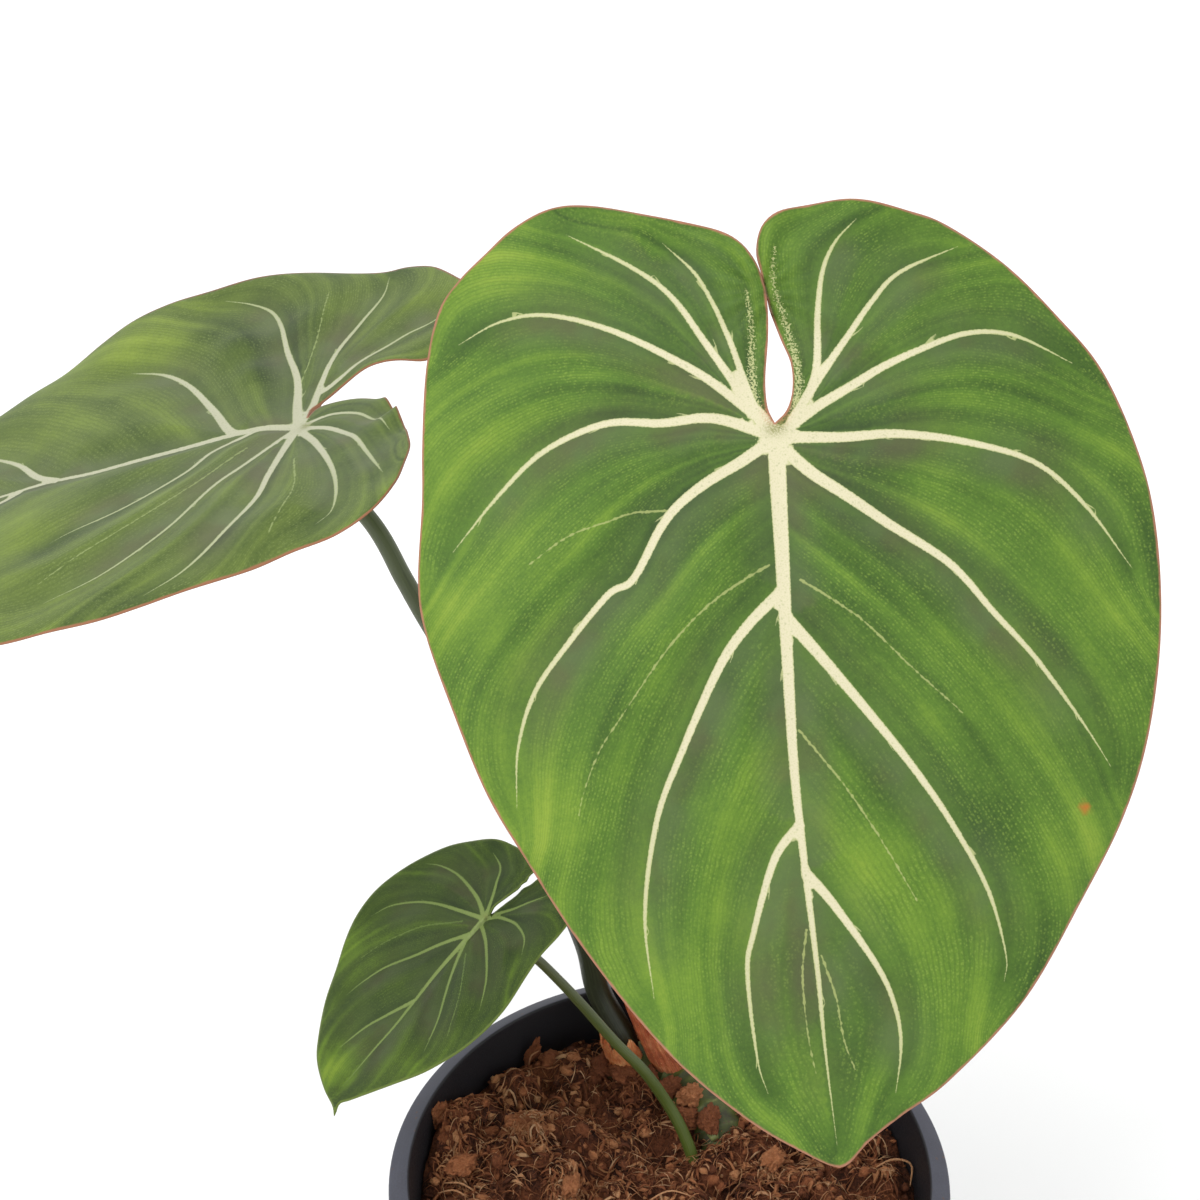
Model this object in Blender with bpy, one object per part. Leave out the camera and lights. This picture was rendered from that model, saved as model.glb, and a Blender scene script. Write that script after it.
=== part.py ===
"""Philodendron gloriosum in its nursery pot.

Three heart-shaped blades on long petioles rise from a creeping rhizome that lies half sunk in coir
soil. All sizes are in millimetres and turned into metres where a mesh is made. The origin is the
middle of the pot's base, +Z is up, and the blades face -Y.
"""

import math

import bpy
import numpy as np
from mathutils.geometry import delaunay_2d_cdt

MM = 0.001
SPAN_SAMPLES = 10
GAP = 0.35  # clearance between neighbouring solids

# Pot: a standard 12 cm nursery pot
SIDES = 48
POT_HEIGHT = 105.0
RIM_RADIUS = 60.0
LIP_WIDTH = 4.4
LIP_FALL = 2.0
SKIRT_HEIGHT = 11.7
SKIRT_WALL = 1.3
WALL = 1.3
BASE_RADIUS = 43.2
BASE_EDGE_Z = 1.0
FOOT_BEVEL = 0.7
MID_HEIGHT = 50.0
LIP_EASE = 0.4
LIP_ROUND = 0.5
SKIRT_FLARE = 0.2
SKIRT_ROOT_FALL = 0.8
INSIDE_FOOT_Z = 4.2
INSIDE_FOOT_ROUND = 0.6
CHANNEL_CLEARANCE = 0.5
CHANNEL_LEAN = 0.2
DISC_LEAN = 0.3
WALL_TOP_RADIUS = 56.3
WALL_TOP_Z = 101.0
CENTRE_DISC_RADIUS = 26.0
CHANNEL_INNER = 28.5
CHANNEL_OUTER = 38.0
CHANNEL_RISE = 3.0
FOOT_INNER = 39.5
FLOOR = 1.2
DRAIN_COUNT = 8
DRAIN_RADIUS = 3.6
DRAIN_CUTTER_HEIGHT = 8.0
DRAIN_SIDES = 12

# Soil
SOIL_LEVEL = 93.0
SOIL_SIDE_TOP = 90.0
SOIL_EDGE_SPREAD = 0.4
SOIL_FOOT_Z = 6.2
SOIL_WAVE_LENGTHS = (9.0, 30.0)
SOIL_RINGS = 10
SOIL_WAVES = 14
SOIL_WAVE_HEIGHT = 0.55
SOIL_SEED = 5
SOIL_LUMPS = (  # x, y, height, spread
    (-28.0, 18.0, 5.5, 9.0),
    (-46.0, 18.0, 6.0, 9.0),
    (-30.0, -14.0, 4.0, 16.0),
    (2.0, -36.0, 4.0, 18.0),
    (36.0, -8.0, 3.5, 14.0),
    (-20.0, 34.0, 3.0, 8.0),
    (30.0, 26.0, -2.0, 12.0),
)

# Rhizome: the creeping stem, with a swelling at each old leaf scar
RHIZOME_ROUTE = (
    (-14, 44.5, 90.5), (-8, 42, 92), (2, 38, 92.3), (9.5, 28.5, 91.5), (13, 20, 86.5), (16, 10, 80),
)
RHIZOME_RADIUS = 6.2
RHIZOME_SIDES = 14
RHIZOME_SCAR_PITCH = 8.5
RHIZOME_SCAR_RISE = 0.45
RHIZOME_SCAR_SHARPNESS = 6
RHIZOME_STEP = 2.6
RHIZOME_END_LENGTH = 5.0
RHIZOME_END_OPEN = 1.2
ROOT_STUB_ROUTE = ((8.5, 26.0, 91.5), (10.2, 20.5, 93.5), (10.6, 18.8, 93.9))
ROOT_STUB_RADIUS = 1.4
ROOT_STUB_SIDES = 8
ROOT_STUB_STEP = 3.0

# Feet: flat seats in the rhizome on which a petiole and its sheath stand
SEAT_LEVEL = 95.6
FOOT_LARGE = (2.4, 40.2)
FOOT_LEFT = (-9.2, 41.0)
SEAT_RADIUS_LARGE = 7.0
SEAT_RADIUS_LEFT = 4.8
SEAT_WELL_HEIGHT = 40.0
SEAT_WELL_SIDES = 16

# Blades
BLADE_THICKNESS = 0.8
RELIEF_FADE = 7.0  # how far in from the margin the quilting and ribs reach full height
EDGE_SHARE = 0.6  # spacing along the outline as a share of the mesh spacing
GRID_SHARE = 0.62  # clearance between the inner grid and the fixed points, as a share of the spacing
FLANK = 0.5  # how far outside a rib's edge its flank lies
RIM_CLEARANCE = 1.2
RIB_CLEARANCE = 1.6
RIB_SHOULDER = 0.4
RIB_LEAST_SHARE = 0.35
WAVE_START = 25.0  # distance from the hub at which the margin's waves are at their full height
LAP_REACH = 12.0
SLIT_POINTS = 8
SLIT_SAMPLES = 30

LEAVES = {
    "large": {
        "attach": (16.3, 6.0, 289.0),
        "tip_direction": (0.085, -0.72, -0.70),
        "normal": (-0.05, -0.72, 0.70),
        "droop": -0.0013,
        "lobe_droop": -0.0010,
        "left_side": (0.0, -0.0010),
        "right_side": (0.0, -0.0010),
        "right_edge": (
            (0, 2.6), (2.2, 4.5), (3.6, 8), (3.9, 13), (2.6, 18), (1.5, 24), (0.9, 30), (0.4, 35),
            (2, 39.5), (7, 42), (16, 42.6), (27, 39.6), (34, 36.5), (42.5, 28.7), (51.3, 18), (58.6, 7.7),
            (63.2, -6), (65, -20), (64, -39), (60.3, -57), (54.7, -71), (46, -85), (34.3, -101.5),
            (20, -114.3), (11, -119.8), (5, -123.8), (1.3, -127.3), (-0.6, -128),
        ),
        "left_edge": (
            (-0.6, -128), (-2.8, -127.2), (-7, -124.7), (-14, -120), (-22.4, -112.6), (-29, -105.4),
            (-36.2, -95.5), (-44, -82.8), (-50.4, -70.5), (-56.5, -58), (-61.3, -43), (-65.2, -28.5),
            (-65.8, -19), (-63.8, -4.7), (-62.9, 5), (-61.1, 20), (-58.4, 29.8), (-54.4, 35), (-48.7, 39.5),
            (-43.4, 43.3), (-36.5, 46.2), (-29.5, 46.2), (-19, 43.5), (-12, 41), (-6, 37.8), (-2.6, 34.4),
            (-0.7, 30), (0.1, 24), (0, 18), (-1, 10.3), (-1, 5.4), (0, 2.6),
        ),
        "veins": (  # width at the start, width at the end, points
            (3.4, 0.6, ((0, 0), (-0.4, -7.5), (-0.9, -20), (-1.7, -39), (-2.3, -58), (-2.1, -72),
                (-1.4, -94), (-1.3, -107), (-0.7, -124))),
            (2.4, 0.8, ((0, 0), (-6.4, -3.7), (-13, -7), (-18.6, -10.8), (-22.1, -14.7), (-27.5, -22.9),
                (-32, -25), (-40.3, -33.4), (-46.7, -41.2), (-50.4, -50.7), (-51.5, -61))),
            (2.4, 0.8, ((0, 0), (-8.2, 3.7), (-13, 4.7), (-20, 4.5), (-30, 5.4), (-41, 1.8),
                (-49.6, -5), (-59, -14.5))),
            (2.2, 0.8, ((0, 1), (-7.8, 8.6), (-15, 14.6), (-27.7, 22.5), (-39, 26.6), (-47.6, 26.2),
                (-55, 23))),
            (2.0, 0.8, ((-1, 2.5), (-5.8, 9.3), (-11.6, 19.3), (-16.6, 27.8), (-22.8, 33.6), (-34, 41))),
            (1.6, 0.6, ((-3.5, 6), (-6.5, 17.3), (-9.2, 25), (-12, 31.2), (-17, 37.5))),
            (2.2, 0.8, ((-1.2, -27), (-8.1, -32.8), (-13.8, -39.7), (-21.8, -54), (-27.1, -65.2),
                (-30.7, -81.2), (-30.5, -96))),
            (1.8, 0.6, ((-2.2, -68), (-7.1, -73.5), (-12, -86), (-13.7, -93), (-13.3, -108), (-12, -114))),
            (2.6, 0.8, ((0, -1), (5.4, -6.8), (10.8, -11.2), (18.2, -17.2), (28.3, -25.2), (35, -34.2),
                (41.7, -43), (49, -55), (53, -62.5))),
            (2.4, 0.8, ((0, 0), (11.8, -1.1), (21.7, -1.4), (33.5, -3.9), (45, -8.5), (53, -16.8),
                (60, -28.5))),
            (2.4, 0.8, ((0, 0), (7.4, 4.7), (14.3, 8.1), (20.5, 11.2), (28.2, 14), (34.5, 15.7),
                (40, 15.7), (45.4, 14), (53.5, 9))),
            (2.0, 0.8, ((3, 2.5), (7.9, 9.2), (13.5, 16), (19.2, 23), (24.7, 28), (35.5, 32))),
            (2.0, 0.8, ((4, 3.5), (8, 10.7), (9.6, 21.4), (11.4, 29.6), (14, 34.7), (18, 38.5))),
            (2.4, 0.8, ((-1.3, -32), (3.2, -38), (11.4, -49.5), (18.5, -60), (24.5, -70.5),
                (29.6, -82.2), (31.7, -93.5), (31, -98))),
            (2.0, 0.6, ((-1.9, -76.5), (2.4, -82.2), (9.3, -94), (11.8, -102), (11.9, -108.5),
                (10.3, -116))),
        ),
        "spacing": 5.4,
        "quilt": (1.7, 7.5),
        "rib": 1.3,
        "wave": (1.2, 9, 0.6),
        "sinus_lap": (0.8, 1.0, 31.0),
    },
    "left": {
        "attach": (-75.0, 62.0, 254.0),
        "tip_direction": (-0.962, 0.045, -0.265),
        "normal": (-0.245, 0.21, 0.95),
        "droop": -0.0006,
        "lobe_droop": 0.0030,
        "left_side": (0.03, 0.0022),
        "right_side": (0.05, -0.0019),
        "right_edge": (
            (-4, 1.2), (-8, 2.4), (-10, 6.5), (-8.8, 12), (-3.2, 17.5), (8, 22.8), (19.3, 26.5),
                (26.4, 28.5),
            (32.6, 29.9), (38.5, 29.8), (46, 28.8), (52.5, 25), (55, 18.5), (54.5, 9.3), (57.6, 1),
                (61.2, -10),
            (64.6, -19), (66.8, -27), (67.4, -36), (67.6, -46), (64.3, -60), (57, -73.5), (47.3, -86),
                (35, -97.5),
            (21, -107), (10, -113), (3, -119), (-1, -124),
        ),
        "left_edge": (
            (-1, -124), (-5, -118), (-12, -111.5), (-23, -100.5), (-35, -89.2), (-44.4, -78.3),
                (-49.6, -71.8),
            (-53.6, -64.2), (-59.8, -56.5), (-64, -49), (-65.6, -40), (-65.6, -30), (-66.6, -18.6),
                (-65.6, -8),
            (-63.3, 2.7), (-61.4, 10), (-60.2, 16), (-55.6, 22.5), (-46, 29), (-38, 33), (-29, 33.5),
            (-22.6, 28.6), (-19, 24.4), (-19, 18.2), (-19.6, 11.3), (-16.8, 6), (-12, 2.8), (-8.5, 1.2),
                (-4, 1.2),
        ),
        "veins": (
            (2.8, 0.6, ((0, 0), (-3.4, -8.3), (-3.5, -16), (-2.6, -25.2), (-2.2, -35.2), (-1.8, -45.2),
                (-3.2, -56), (-2.7, -66.4), (-2, -90), (-1.2, -118))),
            (2.6, 0.8, ((0, 0), (-12, -2.6), (-24.3, -4.7), (-36.2, -8.6), (-46.6, -11.4),
                (-53.8, -14.7), (-58.4, -20.2), (-61.5, -26.5))),
            (2.2, 0.8, ((0, 0), (-9, 1), (-18, 1), (-31.5, 3), (-41.7, 7), (-50.5, 11), (-58.2, 11.7))),
            (1.6, 0.6, ((-16, 1), (-22, 7.5), (-28.4, 14.4), (-31.6, 18.7), (-33.3, 24.4), (-36, 29))),
            (2.4, 1.4, ((-3.5, -12), (-5.9, -15.9), (-17.8, -21.9), (-31.6, -30), (-39.5, -37.3),
                (-44, -46))),
            (2.2, 0.8, ((-3.2, -54), (-8, -59.5), (-17, -66.4), (-24, -75), (-28, -84))),
            (1.4, 0.6, ((-3.4, -9), (3.6, -17.2), (13, -21.3), (24, -31), (34, -44))),
            (1.4, 0.6, ((0, 0), (4, -2), (15.3, -7.9), (23, -12.6), (38, -19), (50, -29), (56, -40))),
            (2.2, 0.8, ((0, 0), (5, -0.3), (22.9, -1.3), (34, -2.1), (46, -6.6), (55.6, -12),
                (61.5, -18.6))),
            (2.2, 0.8, ((0, 0), (4.5, 2), (11.8, 6), (26.7, 12.2), (37.3, 15), (45.4, 15.4), (48.6, 12.7))),
            (2.0, 0.8, ((0, 0), (1.7, 2.6), (5.6, 8.1), (14, 14.2), (24.7, 19.3), (37.6, 24.7))),
            (1.4, 0.6, ((-0.5, 1), (-2.6, 6.5), (0.4, 12.2), (7.6, 18), (15.8, 22.3))),
            (1.8, 0.6, ((-2.4, -62), (6, -70), (18, -80), (27, -91))),
            (1.6, 0.6, ((-2, -80), (-8, -88), (-14, -100))),
        ),
        "spacing": 5.8,
        "quilt": (2.4, 8.0),
        "rib": 1.2,
        "wave": (1.3, 8, 2.0),
        "sinus_lap": (0.0, 0.0, 0.0),
    },
    "small": {
        "attach": (-38.6, 13.3, 165.7),
        "tip_direction": (-0.65, -0.63, -0.43),
        "normal": (-0.45, -0.13, 0.885),
        "droop": -0.0010,
        "lobe_droop": -0.0003,
        "left_side": (0.05, 0.0),
        "right_side": (0.05, 0.0),
        "right_edge": (
            (0.4, 1.4), (1.2, 3.2), (2.1, 6.5), (3.3, 11), (5.6, 15), (9, 16.6), (13.5, 16), (17.5, 13.5),
            (19.6, 10), (20.6, 5), (20.5, 0), (21, -5), (22, -11.7), (21.8, -17), (20.4, -23), (18.2, -28),
            (15.3, -32.8), (11, -37.7), (7.2, -41.8), (3.8, -45.3), (2, -47), (2.6, -48.6), (3, -49.6),
        ),
        "left_edge": (
            (3, -49.6), (0.8, -48.3), (-4.3, -46.6), (-10.5, -43.4), (-14.6, -39.6), (-19.8, -32.8),
            (-23.4, -25.8), (-26.4, -20), (-28.2, -14.8), (-28.8, -8.8), (-27.8, -3), (-25.5, 3.2),
            (-22, 8.8), (-17, 12.8), (-12.4, 15.3), (-7.6, 16.2), (-2.5, 16.4), (1.2, 14.8), (2, 11.5),
            (1.2, 7), (0, 3.4), (0.4, 1.4),
        ),
        "veins": (
            (1.5, 0.5, ((0, 0), (0, -5.2), (-0.2, -14.3), (0.1, -21.3), (0.3, -28.2), (-0.1, -34.3),
                (-0.4, -44))),
            (1.1, 0.5, ((0, 0), (-7.2, -1.5), (-13, -3), (-17.8, -5.1), (-22.6, -8.8), (-25, -13))),
            (1.1, 0.5, ((0, 0), (-3.5, 2), (-7.4, 3.4), (-13.9, 4.6), (-19.4, 4.2), (-23.3, 2.8))),
            (1.0, 0.5, ((0, 0.5), (-1.6, 3.5), (-3.8, 7.3), (-6.2, 10.8), (-10.5, 12.6))),
            (1.1, 0.5, ((0, -4), (-4.5, -9.2), (-7.9, -14.1), (-12.4, -19.8), (-14.8, -25), (-16, -29))),
            (1.0, 0.5, ((0, -21.8), (-3.6, -27.8), (-6, -32.2), (-8.1, -38.7))),
            (1.0, 0.5, ((0, -5.5), (2.4, -10.7), (6, -16.9), (9.5, -22.6), (12.2, -29))),
            (1.0, 0.5, ((0, -1), (2.8, -2.4), (6, -4.4), (12.4, -9.8), (17, -16))),
            (1.0, 0.5, ((0, 0), (2.6, 1.9), (5.4, 2.6), (8.9, 2.7), (13.2, 1.2), (16, -2))),
            (0.9, 0.5, ((1.4, 2), (4.6, 5.2), (7.5, 8.5), (10, 11.5))),
        ),
        "spacing": 3.4,
        "quilt": (0.9, 3.6),
        "rib": 0.7,
        "wave": (0.4, 6, 1.0),
        "sinus_lap": (0.7, 0.8, 9.0),
    },
}

# Petioles: route from the foot to just under the blade, radius at the foot and at the blade
PETIOLES = {
    "large": {
        "route": ((2.4, 40.2, 96.2), (2.4, 40.5, 102), (2.7, 42.8, 118), (3.5, 44.5, 150),
            (6.5, 40.5, 190), (10.5, 32, 230), (14, 20.5, 265)),
        "radii": (3.2, 2.1),
        "sides": 12,
    },
    "left": {
        "route": ((-9.2, 41.0, 96.3), (-9.4, 41.2, 102), (-15.2, 45.3, 113.5), (-18.1, 47, 127.4),
            (-26.8, 50.1, 151.4), (-35.1, 52.1, 174), (-45.1, 54.4, 198.7), (-51.8, 55.5, 213.4),
            (-55.2, 56.2, 221), (-61.2, 57.4, 234.2)),
        "radii": (3.1, 1.7),
        "sides": 12,
    },
    "small": {
        "route": ((8.6, 10.0, 79), (7.6, 11.6, 86), (5.5, 14.0, 93.5), (3.0, 16.4, 100),
            (-0.3, 18.3, 106.2), (-5.2, 19.0, 115), (-11.6, 19.3, 123.8),
                  (-18.0, 18.8, 134.5), (-23.2, 18.0, 143.2), (-29.0, 16.3, 152.6)),
        "radii": (1.55, 1.0),
        "sides": 10,
    },
}
PETIOLE_STEP = 6.0
PETIOLE_TAPER = 0.8
NECK = 4.0
SMALL_SEAT_POINTS = 5
SMALL_SEAT_STEP = 5.0

# Sheaths: papery cataphylls standing open round the petioles' feet
SHEATH_THICKNESS = 0.8
SHEATH_ROWS = 9
SHEATH_COLUMNS = 9
TEAR_PITCH = 2.6
TEAR_START = 1.0
SHEATHS = {
    "large": {
        "route": ((2.4, 40.2, 96.0), (-0.3, 41.4, 103), (-3.8, 43.4, 112), (-7.0, 46.5, 122),
            (-9.0, 49.5, 132)),
        "radii": (5.4, 5.5, 5.2, 4.0, 1.6),
        "spread_deg": (112, 90, 78, 58, 26),
        "facing_deg": 215,
        "torn": 0.0,
    },
    "left": {
        "route": ((-9.2, 41.0, 96.0), (-9.4, 40.9, 99), (-9.8, 40.7, 102), (-10.4, 40.5, 105)),
        "radii": (3.9, 4.2, 4.4, 4.5),
        "spread_deg": (100, 90, 78, 60),
        "facing_deg": 250,
        "torn": 1.6,
    },
}

SMOOTH_ANGLE = 40.0
COLOURS = {  # colour, roughness
    "pot": ((0.085, 0.088, 0.105), 0.5),
    "soil": ((0.09, 0.035, 0.018), 0.95),
    "rhizome": ((0.06, 0.10, 0.03), 0.6),
    "sheath": ((0.32, 0.09, 0.035), 0.75),
    "petiole": ((0.10, 0.15, 0.045), 0.5),
    "blade_large": ((0.10, 0.26, 0.045), 0.5),
    "blade_left": ((0.15, 0.24, 0.08), 0.5),
    "blade_small": ((0.07, 0.14, 0.04), 0.5),
}


def clear_scene():
    for item in list(bpy.data.objects):
        bpy.data.objects.remove(item, do_unlink=True)


def material(name):
    colour, roughness = COLOURS[name]
    made = bpy.data.materials.get(name) or bpy.data.materials.new(name)
    made.use_nodes = True
    shader = made.node_tree.nodes["Principled BSDF"]
    shader.inputs["Base Color"].default_value = (*colour, 1.0)
    shader.inputs["Roughness"].default_value = roughness
    return made


def add_object(name, points_mm, faces, colour=None):
    mesh = bpy.data.meshes.new(name)
    corners = [tuple(int(i) for i in face) for face in faces]
    mesh.from_pydata((np.asarray(points_mm, float) * MM).tolist(), [], corners)
    mesh.validate()
    mesh.update()
    made = bpy.data.objects.new(name, mesh)
    bpy.context.collection.objects.link(made)
    if colour:
        mesh.materials.append(material(colour))
        mesh.shade_smooth()
        mesh.set_sharp_from_angle(angle=math.radians(SMOOTH_ANGLE))
    return made


def cut(target, tool):
    tool.hide_render = True
    tool.display_type = "WIRE"
    step = target.modifiers.new("cut " + tool.name, "BOOLEAN")
    step.operation = "DIFFERENCE"
    step.solver = "EXACT"
    step.object = tool


def catmull_rom(points, per_span=SPAN_SAMPLES):
    """A smooth open curve through the points, sampled evenly in its parameter."""
    pts = np.asarray(points, float)
    ends = np.vstack([2 * pts[0] - pts[1], pts, 2 * pts[-1] - pts[-2]])
    steps = np.linspace(0, 1, per_span, endpoint=False)[:, None]
    spans = []
    for i in range(1, len(ends) - 2):
        a, b, c, d = ends[i - 1], ends[i], ends[i + 1], ends[i + 2]
        spans.append(0.5 * (2 * b + (c - a) * steps + (2 * a - 5 * b + 4 * c - d) * steps**2
                            + (3 * b - a - 3 * c + d) * steps**3))
    return np.vstack(spans + [pts[-1:]])


def evenly(points, spacing):
    """The smooth curve through the points with samples about one spacing apart."""
    curve = catmull_rom(points)
    run = np.concatenate([[0.0], np.cumsum(np.linalg.norm(np.diff(curve, axis=0), axis=1))])
    count = max(2, int(round(run[-1] / spacing)) + 1)
    stations = np.linspace(0, run[-1], count)
    return np.stack([np.interp(stations, run, curve[:, k]) for k in range(curve.shape[1])], axis=1)


def unit(vector):
    vector = np.asarray(vector, float)
    return vector / np.linalg.norm(vector)


def turned(profile, sides=SIDES):
    """A turned solid: the profile runs from the axis below, up the outside, back to the axis."""
    points, faces, rings = [], [], []
    for radius, height in profile:
        if radius == 0:
            rings.append([len(points)])
            points.append((0.0, 0.0, height))
            continue
        rings.append(list(range(len(points), len(points) + sides)))
        for k in range(sides):
            angle = 2 * math.pi * k / sides
            points.append((radius * math.cos(angle), radius * math.sin(angle), height))
    for low, high in zip(rings, rings[1:]):
        for k in range(sides):
            n = (k + 1) % sides
            if len(low) == 1:
                faces.append((low[0], high[n], high[k]))
            elif len(high) == 1:
                faces.append((low[k], low[n], high[0]))
            else:
                faces.append((low[k], low[n], high[n], high[k]))
    return points, faces


def tube(route, radii, sides, step):
    """A round stem along a smooth route, with flat ends and its radius given by a rule from 0 to 1."""
    line = evenly(route, step)
    tangents = np.gradient(line, axis=0)
    side = np.cross(unit(tangents[0]), (0.0, 0.0, 1.0))
    side = unit(side if np.linalg.norm(side) > 0.1 else (1.0, 0.0, 0.0))
    points, faces = [], []
    for i, (centre, tangent) in enumerate(zip(line, tangents)):
        tangent = unit(tangent)
        side = unit(side - side.dot(tangent) * tangent)
        across = np.cross(tangent, side)
        radius = radii(i / (len(line) - 1))
        for k in range(sides):
            angle = 2 * math.pi * k / sides
            points.append(centre + radius * (math.cos(angle) * side + math.sin(angle) * across))
    for i in range(len(line) - 1):
        for k in range(sides):
            a, b = i * sides + k, i * sides + (k + 1) % sides
            faces.append((a, b, b + sides, a + sides))
    last = (len(line) - 1) * sides
    faces.append(tuple(reversed(range(sides))))
    faces.append(tuple(range(last, last + sides)))
    return points, faces


def upright(low, height, radius, sides):
    """A plain upright cylinder standing on a point."""
    route = (low, low + (0, 0, height / 2), low + (0, 0, height))
    return tube(route, lambda share: radius, sides, height)


def wall_radius(height):
    """Outer radius of the pot's tapered wall at a height."""
    share = (height - BASE_EDGE_Z) / (WALL_TOP_Z - BASE_EDGE_Z)
    return BASE_RADIUS + (WALL_TOP_RADIUS - BASE_RADIUS) * share


def make_pot():
    lip_foot = POT_HEIGHT - LIP_FALL
    skirt_foot = lip_foot - SKIRT_HEIGHT
    inner_top = POT_HEIGHT - LIP_EASE
    profile = [
        (0, 0),
        (CENTRE_DISC_RADIUS, 0),
        (CHANNEL_INNER, CHANNEL_RISE),
        (CHANNEL_OUTER, CHANNEL_RISE),
        (FOOT_INNER, 0),
        (BASE_RADIUS - FOOT_BEVEL, 0),
        (BASE_RADIUS, BASE_EDGE_Z),
        (wall_radius(MID_HEIGHT), MID_HEIGHT),
        (WALL_TOP_RADIUS, WALL_TOP_Z),
        (RIM_RADIUS - SKIRT_WALL, WALL_TOP_Z - SKIRT_ROOT_FALL),
        (RIM_RADIUS - SKIRT_WALL + SKIRT_FLARE, skirt_foot),
        (RIM_RADIUS + SKIRT_FLARE, skirt_foot),
        (RIM_RADIUS, lip_foot - LIP_ROUND),
        (RIM_RADIUS - LIP_EASE, lip_foot),
        (RIM_RADIUS - LIP_WIDTH + LIP_ROUND, POT_HEIGHT),
        (wall_radius(inner_top) - WALL, inner_top),
        (wall_radius(MID_HEIGHT) - WALL, MID_HEIGHT),
        (wall_radius(INSIDE_FOOT_Z) - WALL, INSIDE_FOOT_Z + INSIDE_FOOT_ROUND),
        (CHANNEL_OUTER + CHANNEL_CLEARANCE, CHANNEL_RISE + FLOOR),
        (CHANNEL_INNER - CHANNEL_LEAN, CHANNEL_RISE + FLOOR),
        (CENTRE_DISC_RADIUS + DISC_LEAN, FLOOR),
        (0, FLOOR),
    ]
    pot = add_object("pot", *turned(profile), "pot")
    reach = (CHANNEL_INNER + CHANNEL_OUTER) / 2
    for k in range(DRAIN_COUNT):
        angle = 2 * math.pi * (k + 0.5) / DRAIN_COUNT
        low = np.array((reach * math.cos(angle), reach * math.sin(angle), 0.0))
        drill = upright(low, DRAIN_CUTTER_HEIGHT, DRAIN_RADIUS, DRAIN_SIDES)
        cut(pot, add_object(f"drain_cutter_{k}", *drill))


def soil_height(x, y, waves):
    """Height of the soil's lumpy top at a point."""
    height = SOIL_LEVEL
    for along, phase, length in waves:
        distance = x * math.cos(along) + y * math.sin(along)
        height += SOIL_WAVE_HEIGHT * math.sin(2 * math.pi * distance / length + phase)
    for cx, cy, rise, spread in SOIL_LUMPS:
        height += rise * math.exp(-((x - cx) ** 2 + (y - cy) ** 2) / spread**2)
    return height


def soil_waves():
    """Direction, phase and length of each seeded wave of the soil's top."""
    rng = np.random.default_rng(SOIL_SEED)
    waves = []
    for _ in range(SOIL_WAVES):
        along = rng.uniform(0, math.pi)
        phase = rng.uniform(0, 2 * math.pi)
        waves.append((along, phase, rng.uniform(*SOIL_WAVE_LENGTHS)))
    return waves


def make_soil(stem_cutters):
    waves = soil_waves()
    edge = wall_radius(SOIL_SIDE_TOP) - WALL - GAP
    profile = [
        (0, FLOOR + GAP),
        (CENTRE_DISC_RADIUS - CHANNEL_LEAN, FLOOR + GAP),
        (CHANNEL_INNER - INSIDE_FOOT_ROUND, CHANNEL_RISE + FLOOR + GAP),
        (CHANNEL_OUTER + 2, CHANNEL_RISE + FLOOR + GAP + 0.1),
        (wall_radius(6) - WALL - GAP - 0.1, SOIL_FOOT_Z),
        (wall_radius(MID_HEIGHT) - WALL - GAP, MID_HEIGHT),
        (edge, SOIL_SIDE_TOP),
    ]
    points, faces = turned(profile)
    previous = list(range(len(points) - SIDES, len(points)))
    for ring in range(SOIL_RINGS):
        radius = edge * (1 - ring / SOIL_RINGS) + (SOIL_EDGE_SPREAD if ring == 0 else 0.0)
        current = []
        for k in range(SIDES):
            angle = 2 * math.pi * k / SIDES
            x, y = radius * math.cos(angle), radius * math.sin(angle)
            current.append(len(points))
            points.append((x, y, max(soil_height(x, y, waves), SOIL_SIDE_TOP + 1)))
        for k in range(SIDES):
            n = (k + 1) % SIDES
            faces.append((previous[k], previous[n], current[n], current[k]))
        previous = current
    middle = len(points)
    points.append((0.0, 0.0, soil_height(0.0, 0.0, waves)))
    faces += [(previous[k], previous[(k + 1) % SIDES], middle) for k in range(SIDES)]
    soil = add_object("soil", points, faces, "soil")
    for tool in stem_cutters:
        cut(soil, tool)


def rhizome_radius(part):
    """Radius at a share of the rhizome's length: rounded ends and a swelling at each scar."""
    length = np.linalg.norm(np.diff(np.asarray(RHIZOME_ROUTE, float), axis=0), axis=1).sum()
    scar = math.cos(2 * math.pi * part * length / RHIZOME_SCAR_PITCH) ** RHIZOME_SCAR_SHARPNESS
    end = min(1.0, (min(part, 1 - part) * length + RHIZOME_END_OPEN) / RHIZOME_END_LENGTH)
    return RHIZOME_RADIUS * math.sqrt(end) + RHIZOME_SCAR_RISE * scar


def seat_cutter(name, foot, radius):
    """A plain upright well above a foot's seat."""
    low = np.array((*foot, SEAT_LEVEL))
    return add_object(name, *upright(low, SEAT_WELL_HEIGHT, radius, SEAT_WELL_SIDES))


def rhizome_solid(name, grow, colour=None):
    body = tube(RHIZOME_ROUTE, lambda share: rhizome_radius(share) + grow, RHIZOME_SIDES, RHIZOME_STEP)
    return add_object(name, *body, colour)


def root_stub_solid(name, grow):
    body = tube(ROOT_STUB_ROUTE, lambda share: ROOT_STUB_RADIUS + grow, ROOT_STUB_SIDES, ROOT_STUB_STEP)
    return add_object(name, *body)


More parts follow.
